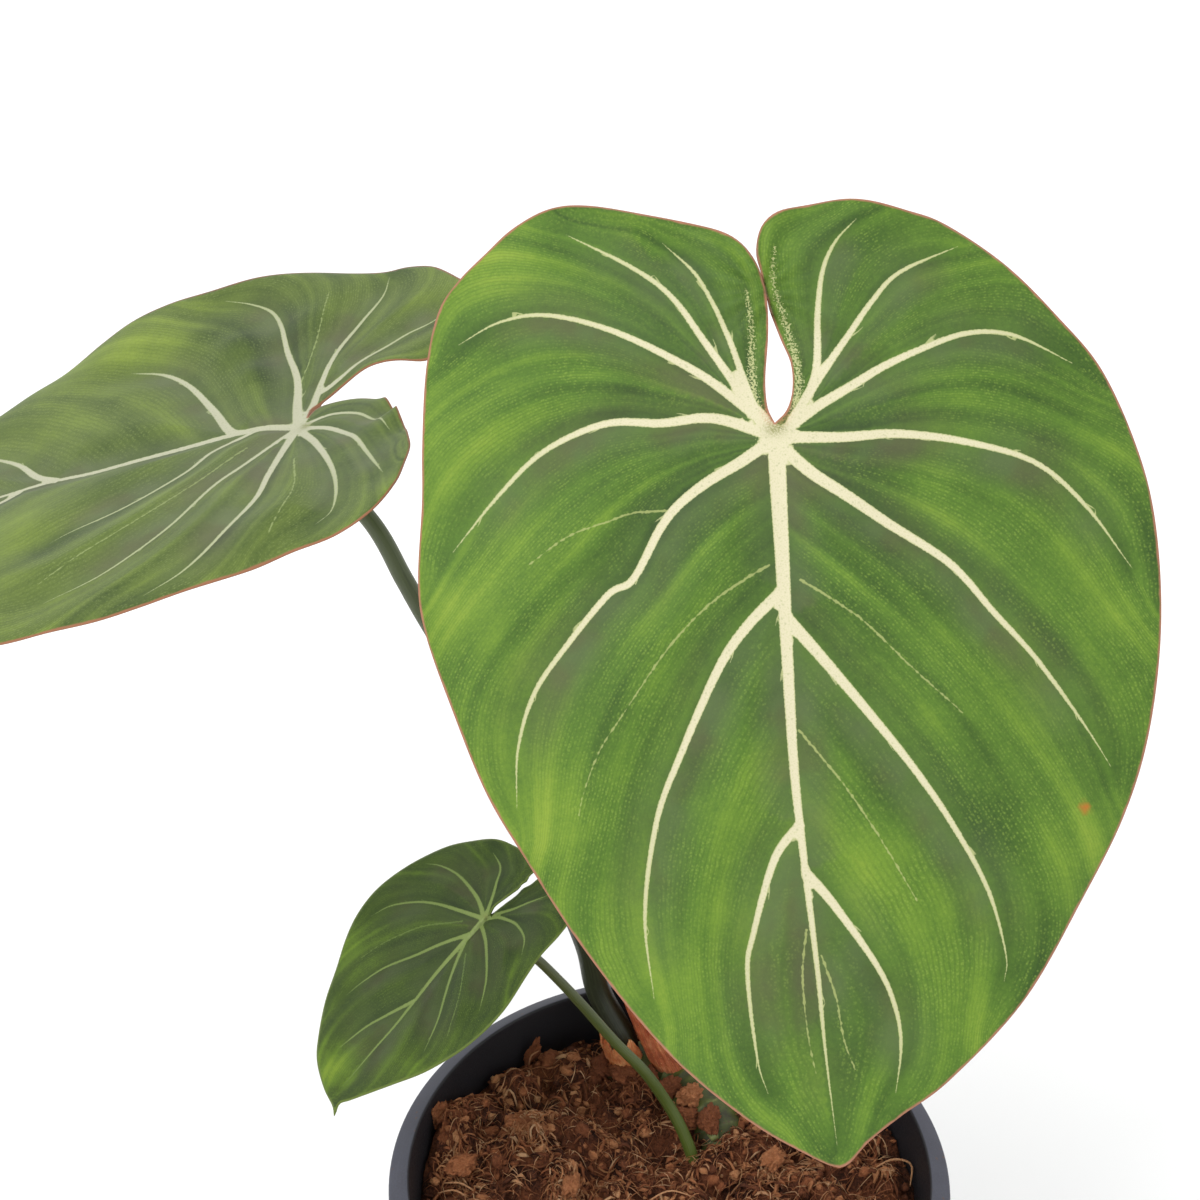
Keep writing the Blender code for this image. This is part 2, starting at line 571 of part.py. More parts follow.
def make_rhizome(seats, small_petiole_cutter):
    """The rhizome with its root stub joined on and its seats cut in; gives the soil's two cutters."""
    rhizome = rhizome_solid("rhizome", 0.0, "rhizome")
    stub = root_stub_solid("root_stub_joined", 0.0)
    stub.hide_render = True
    stub.display_type = "WIRE"
    join = rhizome.modifiers.new("root stub", "BOOLEAN")
    join.operation = "UNION"
    join.solver = "EXACT"
    join.object = stub
    for seat in (*seats, small_petiole_cutter):
        cut(rhizome, seat)
    return rhizome_solid("rhizome_cutter", GAP), root_stub_solid("root_stub_cutter", GAP)


def leaf_frame(leaf):
    """Axes of a blade's flat drawing: right, towards the lobes, and out of the upper face."""
    back = -unit(leaf["tip_direction"])
    normal = np.asarray(leaf["normal"], float)
    normal = unit(normal - normal.dot(back) * back)
    return np.cross(back, normal), back, normal


def petiole_parts(name):
    """Route and radius rule of a petiole, ending square under its blade with a small gap."""
    leaf, petiole = LEAVES[name], PETIOLES[name]
    normal = leaf_frame(leaf)[2]
    under = BLADE_THICKNESS + leaf["rib"] + GAP
    end = np.asarray(leaf["attach"]) - normal * under
    route = [np.asarray(p, float) for p in petiole["route"]] + [end - normal * NECK, end]
    foot, top = petiole["radii"]
    return route, lambda share: foot + (top - foot) * share**PETIOLE_TAPER


def make_petiole(name):
    route, radii = petiole_parts(name)
    add_object(f"petiole_{name}", *tube(route, radii, PETIOLES[name]["sides"], PETIOLE_STEP), "petiole")


def make_sheath(name):
    """A papery shell standing round a foot: an arc of given spread swept up its route, closed by a rim."""
    spec = SHEATHS[name]
    arcs = SHEATH_COLUMNS
    reach = np.linalg.norm(np.subtract(spec["route"][-1], spec["route"][0]))
    line = evenly(spec["route"], reach / (SHEATH_ROWS - 1))
    line[:, 2] += GAP
    stations = np.linspace(0, 1, len(line))
    given = np.linspace(0, 1, len(spec["radii"]))
    radii = np.interp(stations, given, spec["radii"])
    spreads = np.radians(np.interp(stations, given, spec["spread_deg"]))
    facing = math.radians(spec["facing_deg"])
    inner, outer = [], []
    for i, centre in enumerate(line):
        for k in range(arcs):
            angle = facing + spreads[i] * (2 * k / (arcs - 1) - 1)
            tear = spec["torn"] * math.sin(TEAR_PITCH * k + TEAR_START) * stations[i] ** 2
            way = np.array((math.cos(angle), math.sin(angle), 0.0))
            inner.append(centre + way * (radii[i] - SHEATH_THICKNESS / 2) + (0, 0, tear))
            outer.append(centre + way * (radii[i] + SHEATH_THICKNESS / 2) + (0, 0, tear))
    points, faces = outer + inner, []
    half = len(outer)
    for i in range(len(line) - 1):
        for k in range(arcs - 1):
            a = i * arcs + k
            corner = (a, a + 1, a + arcs + 1, a + arcs)
            faces += [(corner[0], corner[1], corner[2]), (corner[0], corner[2], corner[3])]
            faces += [(corner[2] + half, corner[1] + half, corner[0] + half)]
            faces += [(corner[3] + half, corner[2] + half, corner[0] + half)]
    rows = len(line)
    rim = list(range(arcs))
    rim += [i * arcs + arcs - 1 for i in range(1, rows)]
    rim += [(rows - 1) * arcs + k for k in range(arcs - 2, -1, -1)]
    rim += [i * arcs for i in range(rows - 2, 0, -1)]
    for a, b in zip(rim, rim[1:] + rim[:1]):
        faces += [(b, a, a + half), (b, a + half, b + half)]
    add_object(f"sheath_{name}", points, faces, "sheath")


def distance_to_lines(points, lines):
    """Distance from each point to the nearest of some polylines, with that line's half width there."""
    best = np.full(len(points), 1e9)
    half = np.zeros(len(points))
    for start, end, line in lines:
        a, b = line[:-1], line[1:]
        along = b - a
        offset = points[:, None, :] - a[None]
        part = np.clip((offset * along).sum(2) / (along**2).sum(1), 0, 1)
        gap = np.linalg.norm(offset - part[..., None] * along, axis=2)
        nearest = gap.argmin(1)
        rows = np.arange(len(points))
        where = (nearest + part[rows, nearest]) / len(a)
        closer = gap[rows, nearest] < best
        best = np.where(closer, gap[rows, nearest], best)
        half = np.where(closer, (start + (end - start) * where) / 2, half)
    return best, half


def inside(points, loop):
    """True for points within a closed outline."""
    a, b = loop, np.roll(loop, -1, axis=0)
    x, y = points[:, None, 0], points[:, None, 1]
    crosses = (a[:, 1] > y) != (b[:, 1] > y)
    rise = np.where(b[:, 1] == a[:, 1], 1.0, b[:, 1] - a[:, 1])
    reach = a[:, 0] + (y - a[:, 1]) * (b[:, 0] - a[:, 0]) / rise
    return (crosses & (x < reach)).sum(1) % 2 == 1


def leaf_outline(leaf, spacing):
    """The closed outline of the flat drawing, with the slit between the lobes left open."""
    right = evenly(leaf["right_edge"], spacing * EDGE_SHARE)
    left = evenly(leaf["left_edge"], spacing * EDGE_SHARE)
    return np.vstack([right[:-1], left[:-1]])[::-1]


def rib_chains(lines, outline, rim):
    """Lines of points along the middle and both flanks of each rib, with where each line is unbroken."""
    chains = []
    for start, end, line in lines:
        across = np.gradient(line, axis=0)[:, ::-1] * (-1, 1)
        across /= np.linalg.norm(across, axis=1)[:, None]
        half = np.linspace(start, end, len(line))[:, None] / 2 + FLANK
        others = [other for other in lines if other[2] is not line]
        for shift in (-1, 0, 1):
            chain = line + shift * half * across
            keep = inside(chain, outline) & (distance_to_lines(chain, rim)[0] > RIM_CLEARANCE)
            if shift:
                keep &= distance_to_lines(chain, others)[0] > RIB_CLEARANCE
            kept = np.flatnonzero(keep)
            chains.append((chain[kept], np.diff(kept) == 1))
    return chains


def inner_grid(outline, spacing, fixed):
    """Evenly staggered points inside the outline, clear of the fixed ones."""
    low, high = outline.min(0), outline.max(0)
    grid = []
    for row, y in enumerate(np.arange(low[1], high[1], spacing * math.sqrt(3) / 2)):
        for x in np.arange(low[0], high[0], spacing):
            grid.append((x + (row % 2) * spacing / 2, y))
    grid = np.array(grid)
    grid = grid[inside(grid, outline)]
    clear = np.linalg.norm(grid[:, None] - fixed[None], axis=2).min(1) > GRID_SHARE * spacing
    return grid[clear]


def flat_blade(leaf):
    """Points and triangles of the flat drawing, with edges along both flanks of each rib."""
    spacing = leaf["spacing"]
    outline = leaf_outline(leaf, spacing)
    rim = [(0.0, 0.0, np.vstack([outline, outline[:1]]))]
    lines = [(start, end, evenly(points, spacing)) for start, end, points in leaf["veins"]]
    fixed = [outline]
    edges = [(i, (i + 1) % len(outline)) for i in range(len(outline))]
    total = len(outline)
    for chain, unbroken in rib_chains(lines, outline, rim):
        fixed.append(chain)
        edges += [(total + i, total + i + 1) for i in np.flatnonzero(unbroken).tolist()]
        total += len(chain)
    fixed = np.vstack(fixed)
    points = np.vstack([fixed, inner_grid(outline, spacing, fixed)])
    done = delaunay_2d_cdt(points.tolist(), edges, [list(range(len(outline)))], 1, 1e-4)
    flat = np.array([tuple(point) for point in done[0]])
    used = sorted({i for triangle in done[2] for i in triangle})
    renumber = {old: new for new, old in enumerate(used)}
    triangles = [tuple(renumber[i] for i in triangle) for triangle in done[2]]
    return flat[used], triangles, outline, lines


def raise_blade(leaf, flat, outline, lines):
    """Upper and lower points of a blade: its hang, waved margin, quilting, and ribs raised below."""
    right, back, normal = leaf_frame(leaf)
    x, y = flat[:, 0].copy(), flat[:, 1]
    vein_gap, half = distance_to_lines(flat, lines)
    rim_gap = distance_to_lines(flat, [(0.0, 0.0, np.vstack([outline, outline[:1]]))])[0]
    fade = 1 - np.exp(-rim_gap / RELIEF_FADE)
    bend = np.where(y < 0, leaf["droop"], leaf["lobe_droop"])
    slope = np.where(x < 0, leaf["left_side"][0], leaf["right_side"][0])
    curl = np.where(x < 0, leaf["left_side"][1], leaf["right_side"][1])
    height = bend * y**2 + slope * np.abs(x) + curl * x**2
    quilt, reach = leaf["quilt"]
    height += quilt * (1 - np.exp(-(vein_gap / reach) ** 2)) * fade
    wave, waves, phase = leaf["wave"]
    around = np.arctan2(x, -(y + np.mean(outline[:, 1])))
    settled = np.minimum(1, np.hypot(x, y) / WAVE_START)
    height += wave * np.sin(waves * around + phase) * (1 - fade) * settled
    lap, lift, middle = leaf["sinus_lap"]
    if lap:
        near = np.exp(-(x**2 + (y - middle) ** 2) / LAP_REACH**2)
        side = np.where(right_of_sinus(leaf, flat), 1.0, -1.0)
        x -= side * lap * near
        height -= side * lift * near
    top = np.asarray(leaf["attach"]) + np.outer(x, right) + np.outer(y, back) + np.outer(height, normal)
    swell = np.exp(-(vein_gap / (half + RIB_SHOULDER)) ** 2)
    rib = leaf["rib"] * swell * (half > 0) * np.minimum(1, RIB_LEAST_SHARE + half)
    return top, top - np.outer(BLADE_THICKNESS + rib, normal)


def right_of_sinus(leaf, flat):
    """True on the right lobe's side of the slit between the two lobes."""
    right_side = catmull_rom([p for p in leaf["right_edge"] if p[1] > 0][:SLIT_POINTS])
    left_side = catmull_rom([p for p in leaf["left_edge"] if p[1] > 0][::-1][:SLIT_POINTS])
    heights = np.linspace(0, right_side[:, 1].max(), SLIT_SAMPLES)
    middle = []
    for level in heights:
        right = right_side[np.abs(right_side[:, 1] - level).argmin(), 0]
        left = left_side[np.abs(left_side[:, 1] - level).argmin(), 0]
        middle.append((right + left) / 2)
    return flat[:, 0] > np.interp(flat[:, 1], heights, middle)


def make_blade(name):
    """A blade with alike triangles on both faces and a plain rim between them."""
    leaf = LEAVES[name]
    flat, triangles, outline, lines = flat_blade(leaf)
    top, bottom = raise_blade(leaf, flat, outline, lines)
    count = len(flat)
    faces, sides = [], {}
    for a, b, c in triangles:
        turn = np.cross(flat[b] - flat[a], flat[c] - flat[a])
        if turn < 0:
            b, c = c, b
        faces += [(a, b, c), (c + count, b + count, a + count)]
        for edge in ((a, b), (b, c), (c, a)):
            sides[edge] = sides.get(edge, 0) + 1
    for a, b in sides:
        if (b, a) not in sides:
            faces += [(b, a, a + count), (b, a + count, b + count)]
    add_object(f"blade_{name}", np.vstack([top, bottom]), faces, f"blade_{name}")


def small_petiole_cutter():
    """The hole that the small petiole leaves in the rhizome and the soil."""
    route = petiole_parts("small")[0]
    low = [route[0] - (0, 0, GAP)] + route[1:SMALL_SEAT_POINTS]
    petiole = PETIOLES["small"]
    hole = tube(low, lambda share: petiole["radii"][0] + GAP, petiole["sides"], SMALL_SEAT_STEP)
    return add_object("petiole_small_cutter", *hole)


def main():
    clear_scene()
    make_pot()
    small_cutter = small_petiole_cutter()
    seats = (
        seat_cutter("seat_cutter_large", FOOT_LARGE, SEAT_RADIUS_LARGE),
        seat_cutter("seat_cutter_left", FOOT_LEFT, SEAT_RADIUS_LEFT),
    )
    rhizome_cutters = make_rhizome(seats, small_cutter)
    make_soil((*rhizome_cutters, *seats, small_cutter))
    for name in SHEATHS:
        make_sheath(name)
    for name in LEAVES:
        make_petiole(name)
        make_blade(name)


main()
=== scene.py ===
"""Looks of a potted philodendron gloriosum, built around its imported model.

Sizes below are in millimetres and turned into metres where a mesh is made. The blades, stems, soil and pot
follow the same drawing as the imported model, with finer meshes and procedural materials.
"""

import math

import bmesh
import bpy
import numpy as np
from mathutils import Euler, Matrix, Vector, kdtree, noise
from mathutils.geometry import delaunay_2d_cdt


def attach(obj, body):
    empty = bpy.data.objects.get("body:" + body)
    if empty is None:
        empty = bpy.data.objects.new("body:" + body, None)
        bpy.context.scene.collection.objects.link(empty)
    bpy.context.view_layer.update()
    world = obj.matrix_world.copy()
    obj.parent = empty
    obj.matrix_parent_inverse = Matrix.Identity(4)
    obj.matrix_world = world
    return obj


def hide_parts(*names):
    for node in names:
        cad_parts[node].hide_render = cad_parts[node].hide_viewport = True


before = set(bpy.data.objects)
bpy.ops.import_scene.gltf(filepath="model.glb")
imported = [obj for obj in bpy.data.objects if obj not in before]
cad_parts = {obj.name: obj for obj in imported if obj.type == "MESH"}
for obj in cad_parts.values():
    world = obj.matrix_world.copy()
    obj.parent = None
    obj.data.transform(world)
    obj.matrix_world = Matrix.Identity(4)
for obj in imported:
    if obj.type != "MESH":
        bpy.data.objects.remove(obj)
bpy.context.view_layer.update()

MM = 0.001

# Camera
LENS = 85.0
SENSOR = 36.0
CAMERA_PLACE = (-14.8, -410.6, 566.9)
CAMERA_PITCH_DOWN = 37.0

# Studio: the floor's reach and the lights, in metres and watts
FLOOR_REACH = 6.0
LIGHT_TARGET = (0.0, 0.0, 0.2)
LIGHTS = (  # name, place, width, power
    ("key", (-0.55, -0.55, 1.25), 0.8, 10.0),
    ("fill", (0.8, -0.5, 0.8), 0.9, 1.5),
)

# Pot
SIDES = 160
POT_HEIGHT = 105.0
RIM_RADIUS = 60.0
LIP_WIDTH = 4.4
LIP_FALL = 2.0
SKIRT_HEIGHT = 11.7
SKIRT_WALL = 1.3
WALL = 1.3
BASE_RADIUS = 43.2
WALL_TOP_RADIUS = 56.3
WALL_TOP_Z = 101.0
CENTRE_DISC_RADIUS = 26.0
CHANNEL_INNER = 28.5
CHANNEL_OUTER = 38.0
CHANNEL_RISE = 3.0
FOOT_INNER = 39.5
FLOOR = 1.2
DRAIN_COUNT = 8
DRAIN_RADIUS = 3.6

# Soil
GAP = 0.35
SOIL_LEVEL = 93.0
SOIL_WAVES = 14
SOIL_WAVE_HEIGHT = 0.55
SOIL_SEED = 5
SOIL_LUMPS = (  # x, y, height, spread
    (-28.0, 18.0, 5.5, 9.0),
    (-46.0, 18.0, 6.0, 9.0),
    (-30.0, -14.0, 4.0, 16.0),
    (2.0, -36.0, 4.0, 18.0),
    (36.0, -8.0, 3.5, 14.0),
    (-20.0, 34.0, 3.0, 8.0),
    (30.0, 26.0, -2.0, 12.0),
)
SOIL_SIDE_TOP = 90.0
SOIL_RINGS = 100
SOIL_SEGMENTS = 300
CRUMBS = {
    "count": 1900, "kinds": 10, "rounds": 2, "sizes": (0.45, 1.8), "flatness": (0.4, 0.9), "sink": 0.12,
    "tones": (0.12, 0.85),
}
FLAKES = {
    "count": 110, "kinds": 6, "rounds": 3, "sizes": (1.0, 2.4), "flatness": (0.35, 0.7), "sink": 0.16,
    "tones": (0.30, 0.86),
}
CHIP_ROUNDS = 5
FIBRES = {
    "count": 3600, "lengths": (1.4, 6.0), "widths": (0.06, 0.14), "lifts": (0.2, 1.5), "bends": 0.7,
    "tones": (0.20, 1.0),
}
SHREDS = {
    "count": 1100, "lengths": (1.6, 4.5), "widths": (0.22, 0.60), "lifts": (0.0, 0.9), "bends": 0.5,
    "tones": (0.12, 0.95),
}
TUFT_FIBRES = {"lengths": (1.2, 4.0), "widths": (0.07, 0.28), "lifts": (0.2, 1.6), "bends": 1.0}
PLACED_FIBRE_TONE = 0.86
SOIL_HEAPS = (  # soil over the buried end of the rhizome, and clumps of coir: x, y, height, spread
    (-31.5, 17.5, 3.6, 4.6),
    (-21.5, 3.0, 2.6, 3.8),
    (-45.5, 9.0, 1.8, 3.4),
    (-38.0, -6.0, 2.0, 4.0),
    (19.0, 27.0, 4.6, 7.0),
    (15.0, 15.0, 2.2, 6.0),
    (5.0, 22.5, 2.0, 4.0),
    (-7.0, 34.0, 2.6, 4.0),
    (-50.0, -2.0, 2.6, 9.0),
    (-38.0, 34.0, 2.4, 7.0),
    (44.0, 16.0, 2.0, 9.0),
)
TUFTS = (  # clumps of paler coir: x, y, reach, fibres, lowest and highest tone
    (-31.5, 17.0, 5.0, 260, (0.45, 1.0)),
    (-21.5, 3.0, 4.2, 170, (0.50, 1.0)),
    (-45.5, 9.0, 3.8, 110, (0.40, 0.95)),
    (-38.0, -6.0, 4.4, 120, (0.35, 0.9)),
    (23.0, 10.0, 3.8, 120, (0.45, 1.0)),
    (5.4, 26.0, 3.0, 60, (0.30, 0.8)),
    (-8.0, 34.5, 4.5, 130, (0.20, 0.7)),
    (-47.0, 22.0, 3.4, 90, (0.30, 0.8)),
)

# Rhizome and its root stub
RHIZOME_ROUTE = (
    (-14, 44.5, 90.5), (-8, 42, 92), (2, 38, 92.3), (9.5, 28.5, 91.5), (13, 20, 86.5), (16, 10, 80),
)
RHIZOME_RADIUS = 6.2
RHIZOME_SCAR_PITCH = 8.5
RHIZOME_SCAR_RISE = 0.45
ROOT_STUB_ROUTE = ((8.5, 26.0, 91.5), (10.2, 20.5, 93.5), (10.6, 18.8, 93.9))
ROOT_STUB_RADIUS = 1.4

# Blades
BLADE_THICKNESS = 0.7
RIM_THICKNESS = 0.3
RELIEF_FADE = 7.0
LEAF_ALBEDO = 0.57
ROW_SWEEP = 13.0
ROW_SWEEP_REACH = 7.0
ROW_PITCH = 1.15
SINUS_ROWS = 14.0
FLOW_STEPS = 600
MIDDLE_REACH = 5.0

# Pale hub where the veins meet, and the paler sinus: how strong, and how fast they fall
HUB_STRENGTH = 0.80
HUB_REACH = 0.05  # of the blade's length
HUB_VEIN_FALL = 0.35
SINUS_STRENGTH = 0.72
SINUS_VEIN_FALL = 0.8
SINUS_FALL = 0.006
BLUSH_WIDTH = 3.0
BLUSH_HEIGHT = 2.2
BLUSH_Y = 4.0
KNOT_WIDTH = 0.014  # of the blade's length, like the next two
KNOT_HEIGHT = 0.009
KNOT_Y = 0.012
SPOT_PLACE = (47.7, -69.3)

LEAVES = {
    "large": {
        "attach": (16.3, 6, 289),
        "tip_direction": (0.085, -0.72, -0.7),
        "normal": (-0.05, -0.72, 0.7),
        "droop": -0.0013,
        "lobe_droop": -0.001,
        "left_side": (0, -0.001),
        "right_side": (0, -0.001),
        "right_edge": (
            (0, 2.6), (2.2, 4.5), (3.6, 8), (3.9, 13), (2.6, 18), (1.5, 24), (0.9, 30), (0.4, 35),
            (2, 39.5), (7, 42), (16, 42.6), (27, 39.6), (34, 36.5), (42.5, 28.7), (51.3, 18), (58.6, 7.7),
            (63.2, -6), (65, -20), (64, -39), (60.3, -57), (54.7, -71), (46, -85), (34.3, -101.5),
            (20, -114.3), (11, -119.8), (5, -123.8), (1.3, -127.3), (-0.6, -128),
        ),
        "left_edge": (
            (-0.6, -128), (-2.8, -127.2), (-7, -124.7), (-14, -120), (-22.4, -112.6), (-29, -105.4),
            (-36.2, -95.5), (-44, -82.8), (-50.4, -70.5), (-56.5, -58), (-61.3, -43), (-65.2, -28.5),
            (-65.8, -19), (-63.8, -4.7), (-62.9, 5), (-61.1, 20), (-58.4, 29.8), (-54.4, 35),
            (-48.7, 39.5), (-43.4, 43.3), (-36.5, 46.2), (-29.5, 46.2), (-19, 43.5), (-12, 41),
            (-6, 37.8), (-2.6, 34.4), (-0.7, 30), (0.1, 24), (0, 18), (-1, 10.3), (-1, 5.4), (0, 2.6),
        ),
        "veins": (  # width at the start, width at the end, points
            (3.4, 0.6, (
                (0, 0), (-0.4, -7.5), (-0.9, -20), (-1.7, -39), (-2.3, -58), (-2.1, -72), (-1.4, -94),
                (-1.3, -107), (-0.7, -124),
            )),
            (2.4, 0.8, (
                (0, 0), (-6.4, -3.7), (-13, -7), (-18.6, -10.8), (-22.1, -14.7), (-27.5, -22.9),
                (-32, -25), (-40.3, -33.4), (-46.7, -41.2), (-50.4, -50.7), (-51.5, -61),
            )),
            (2.4, 0.8, (
                (0, 0), (-8.2, 3.7), (-13, 4.7), (-20, 4.5), (-30, 5.4), (-41, 1.8), (-49.6, -5),
                (-59, -14.5),
            )),
            (2.2, 0.8, (
                (0, 1), (-7.8, 8.6), (-15, 14.6), (-27.7, 22.5), (-39, 26.6), (-47.6, 26.2), (-55, 23),
            )),
            (2, 0.8, ((-1, 2.5), (-5.8, 9.3), (-11.6, 19.3), (-16.6, 27.8), (-22.8, 33.6), (-34, 41))),
            (1.6, 0.6, ((-3.5, 6), (-6.5, 17.3), (-9.2, 25), (-12, 31.2), (-17, 37.5))),
            (2.2, 0.8, (
                (-1.2, -27), (-8.1, -32.8), (-13.8, -39.7), (-21.8, -54), (-27.1, -65.2), (-30.7, -81.2),
                (-30.5, -96),
            )),
            (1.8, 0.6, ((-2.2, -68), (-7.1, -73.5), (-12, -86), (-13.7, -93), (-13.3, -108), (-12, -114))),
            (2.6, 0.8, (
                (0, -1), (5.4, -6.8), (10.8, -11.2), (18.2, -17.2), (28.3, -25.2), (35, -34.2),
                (41.7, -43), (49, -55), (53, -62.5),
            )),
            (2.4, 0.8, (
                (0, 0), (11.8, -1.1), (21.7, -1.4), (33.5, -3.9), (45, -8.5), (53, -16.8), (60, -28.5),
            )),
            (2.4, 0.8, (
                (0, 0), (7.4, 4.7), (14.3, 8.1), (20.5, 11.2), (28.2, 14), (34.5, 15.7), (40, 15.7),
                (45.4, 14), (53.5, 9),
            )),
            (2, 0.8, ((3, 2.5), (7.9, 9.2), (13.5, 16), (19.2, 23), (24.7, 28), (35.5, 32))),
            (2, 0.8, ((4, 3.5), (8, 10.7), (9.6, 21.4), (11.4, 29.6), (14, 34.7), (18, 38.5))),
            (2.4, 0.8, (
                (-1.3, -32), (3.2, -38), (11.4, -49.5), (18.5, -60), (24.5, -70.5), (29.6, -82.2),
                (31.7, -93.5), (31, -98),
            )),
            (2, 0.6, (
                (-1.9, -76.5), (2.4, -82.2), (9.3, -94), (11.8, -102), (11.9, -108.5), (10.3, -116),
            )),
        ),
        "quilt": (1.7, 7.5),
        "wave": (1.2, 9, 0.6),
        "sinus_lap": (0.8, 1, 31),
        "rib": 1.3,
    },
    "left": {
        "attach": (-75, 62, 254),
        "tip_direction": (-0.962, 0.045, -0.265),
        "normal": (-0.245, 0.21, 0.95),
        "droop": -0.0006,
        "lobe_droop": 0.003,
        "left_side": (0.03, 0.0022),
        "right_side": (0.05, -0.0019),
        "right_edge": (
            (-4, 1.2), (-8, 2.4), (-10, 6.5), (-8.8, 12), (-3.2, 17.5), (8, 22.8), (19.3, 26.5),
            (26.4, 28.5), (32.6, 29.9), (38.5, 29.8), (46, 28.8), (52.5, 25), (55, 18.5), (54.5, 9.3),
            (57.6, 1), (61.2, -10), (64.6, -19), (66.8, -27), (67.4, -36), (67.6, -46), (64.3, -60),
            (57, -73.5), (47.3, -86), (35, -97.5), (21, -107), (10, -113), (3, -119), (-1, -124),
        ),
        "left_edge": (
            (-1, -124), (-5, -118), (-12, -111.5), (-23, -100.5), (-35, -89.2), (-44.4, -78.3),
            (-49.6, -71.8), (-53.6, -64.2), (-59.8, -56.5), (-64, -49), (-65.6, -40), (-65.6, -30),
            (-66.6, -18.6), (-65.6, -8), (-63.3, 2.7), (-61.4, 10), (-60.2, 16), (-55.6, 22.5), (-46, 29),
            (-38, 33), (-29, 33.5), (-22.6, 28.6), (-19, 24.4), (-19, 18.2), (-19.6, 11.3), (-16.8, 6),
            (-12, 2.8), (-8.5, 1.2), (-4, 1.2),
        ),
        "veins": (  # width at the start, width at the end, points
            (2.8, 0.6, (
                (0, 0), (-3.4, -8.3), (-3.5, -16), (-2.6, -25.2), (-2.2, -35.2), (-1.8, -45.2),
                (-3.2, -56), (-2.7, -66.4), (-2, -90), (-1.2, -118),
            )),
            (2.6, 0.8, (
                (0, 0), (-12, -2.6), (-24.3, -4.7), (-36.2, -8.6), (-46.6, -11.4), (-53.8, -14.7),
                (-58.4, -20.2), (-61.5, -26.5),
            )),
            (2.2, 0.8, ((0, 0), (-9, 1), (-18, 1), (-31.5, 3), (-41.7, 7), (-50.5, 11), (-58.2, 11.7))),
            (1.6, 0.6, ((-16, 1), (-22, 7.5), (-28.4, 14.4), (-31.6, 18.7), (-33.3, 24.4), (-36, 29))),
            (2.4, 1.4, (
                (-3.5, -12), (-5.9, -15.9), (-17.8, -21.9), (-31.6, -30), (-39.5, -37.3), (-44, -46),
            )),
            (2.2, 0.8, ((-3.2, -54), (-8, -59.5), (-17, -66.4), (-24, -75), (-28, -84))),
            (1.4, 0.6, ((-3.4, -9), (3.6, -17.2), (13, -21.3), (24, -31), (34, -44))),
            (1.4, 0.6, ((0, 0), (4, -2), (15.3, -7.9), (23, -12.6), (38, -19), (50, -29), (56, -40))),
            (2.2, 0.8, (
                (0, 0), (5, -0.3), (22.9, -1.3), (34, -2.1), (46, -6.6), (55.6, -12), (61.5, -18.6),
            )),
            (2.2, 0.8, (
                (0, 0), (4.5, 2), (11.8, 6), (26.7, 12.2), (37.3, 15), (45.4, 15.4), (48.6, 12.7),
            )),
            (2, 0.8, ((0, 0), (1.7, 2.6), (5.6, 8.1), (14, 14.2), (24.7, 19.3), (37.6, 24.7))),
            (1.4, 0.6, ((-0.5, 1), (-2.6, 6.5), (0.4, 12.2), (7.6, 18), (15.8, 22.3))),
            (1.8, 0.6, ((-2.4, -62), (6, -70), (18, -80), (27, -91))),
            (1.6, 0.6, ((-2, -80), (-8, -88), (-14, -100))),
        ),
        "quilt": (2.4, 8),
        "wave": (1.3, 8, 2),
        "sinus_lap": (0, 0, 0),
        "rib": 1.2,
    },
    "small": {
        "attach": (-38.6, 13.3, 165.7),
        "tip_direction": (-0.65, -0.63, -0.43),
        "normal": (-0.45, -0.13, 0.885),
        "droop": -0.001,
        "lobe_droop": -0.0003,
        "left_side": (0.05, 0),
        "right_side": (0.05, 0),
        "right_edge": (
            (0.4, 1.4), (1.2, 3.2), (2.1, 6.5), (3.3, 11), (5.6, 15), (9, 16.6), (13.5, 16), (17.5, 13.5),
            (19.6, 10), (20.6, 5), (20.5, 0), (21, -5), (22, -11.7), (21.8, -17), (20.4, -23),
            (18.2, -28), (15.3, -32.8), (11, -37.7), (7.2, -41.8), (3.8, -45.3), (2, -47), (2.6, -48.6),
            (3, -49.6),
        ),
        "left_edge": (
            (3, -49.6), (0.8, -48.3), (-4.3, -46.6), (-10.5, -43.4), (-14.6, -39.6), (-19.8, -32.8),
            (-23.4, -25.8), (-26.4, -20), (-28.2, -14.8), (-28.8, -8.8), (-27.8, -3), (-25.5, 3.2),
            (-22, 8.8), (-17, 12.8), (-12.4, 15.3), (-7.6, 16.2), (-2.5, 16.4), (1.2, 14.8), (2, 11.5),
            (1.2, 7), (0, 3.4), (0.4, 1.4),
        ),
        "veins": (  # width at the start, width at the end, points
            (1.5, 0.5, (
                (0, 0), (0, -5.2), (-0.2, -14.3), (0.1, -21.3), (0.3, -28.2), (-0.1, -34.3), (-0.4, -44),
            )),
            (1.1, 0.5, ((0, 0), (-7.2, -1.5), (-13, -3), (-17.8, -5.1), (-22.6, -8.8), (-25, -13))),
            (1.1, 0.5, ((0, 0), (-3.5, 2), (-7.4, 3.4), (-13.9, 4.6), (-19.4, 4.2), (-23.3, 2.8))),
            (1, 0.5, ((0, 0.5), (-1.6, 3.5), (-3.8, 7.3), (-6.2, 10.8), (-10.5, 12.6))),
            (1.1, 0.5, ((0, -4), (-4.5, -9.2), (-7.9, -14.1), (-12.4, -19.8), (-14.8, -25), (-16, -29))),
            (1, 0.5, ((0, -21.8), (-3.6, -27.8), (-6, -32.2), (-8.1, -38.7))),
            (1, 0.5, ((0, -5.5), (2.4, -10.7), (6, -16.9), (9.5, -22.6), (12.2, -29))),
            (1, 0.5, ((0, -1), (2.8, -2.4), (6, -4.4), (12.4, -9.8), (17, -16))),
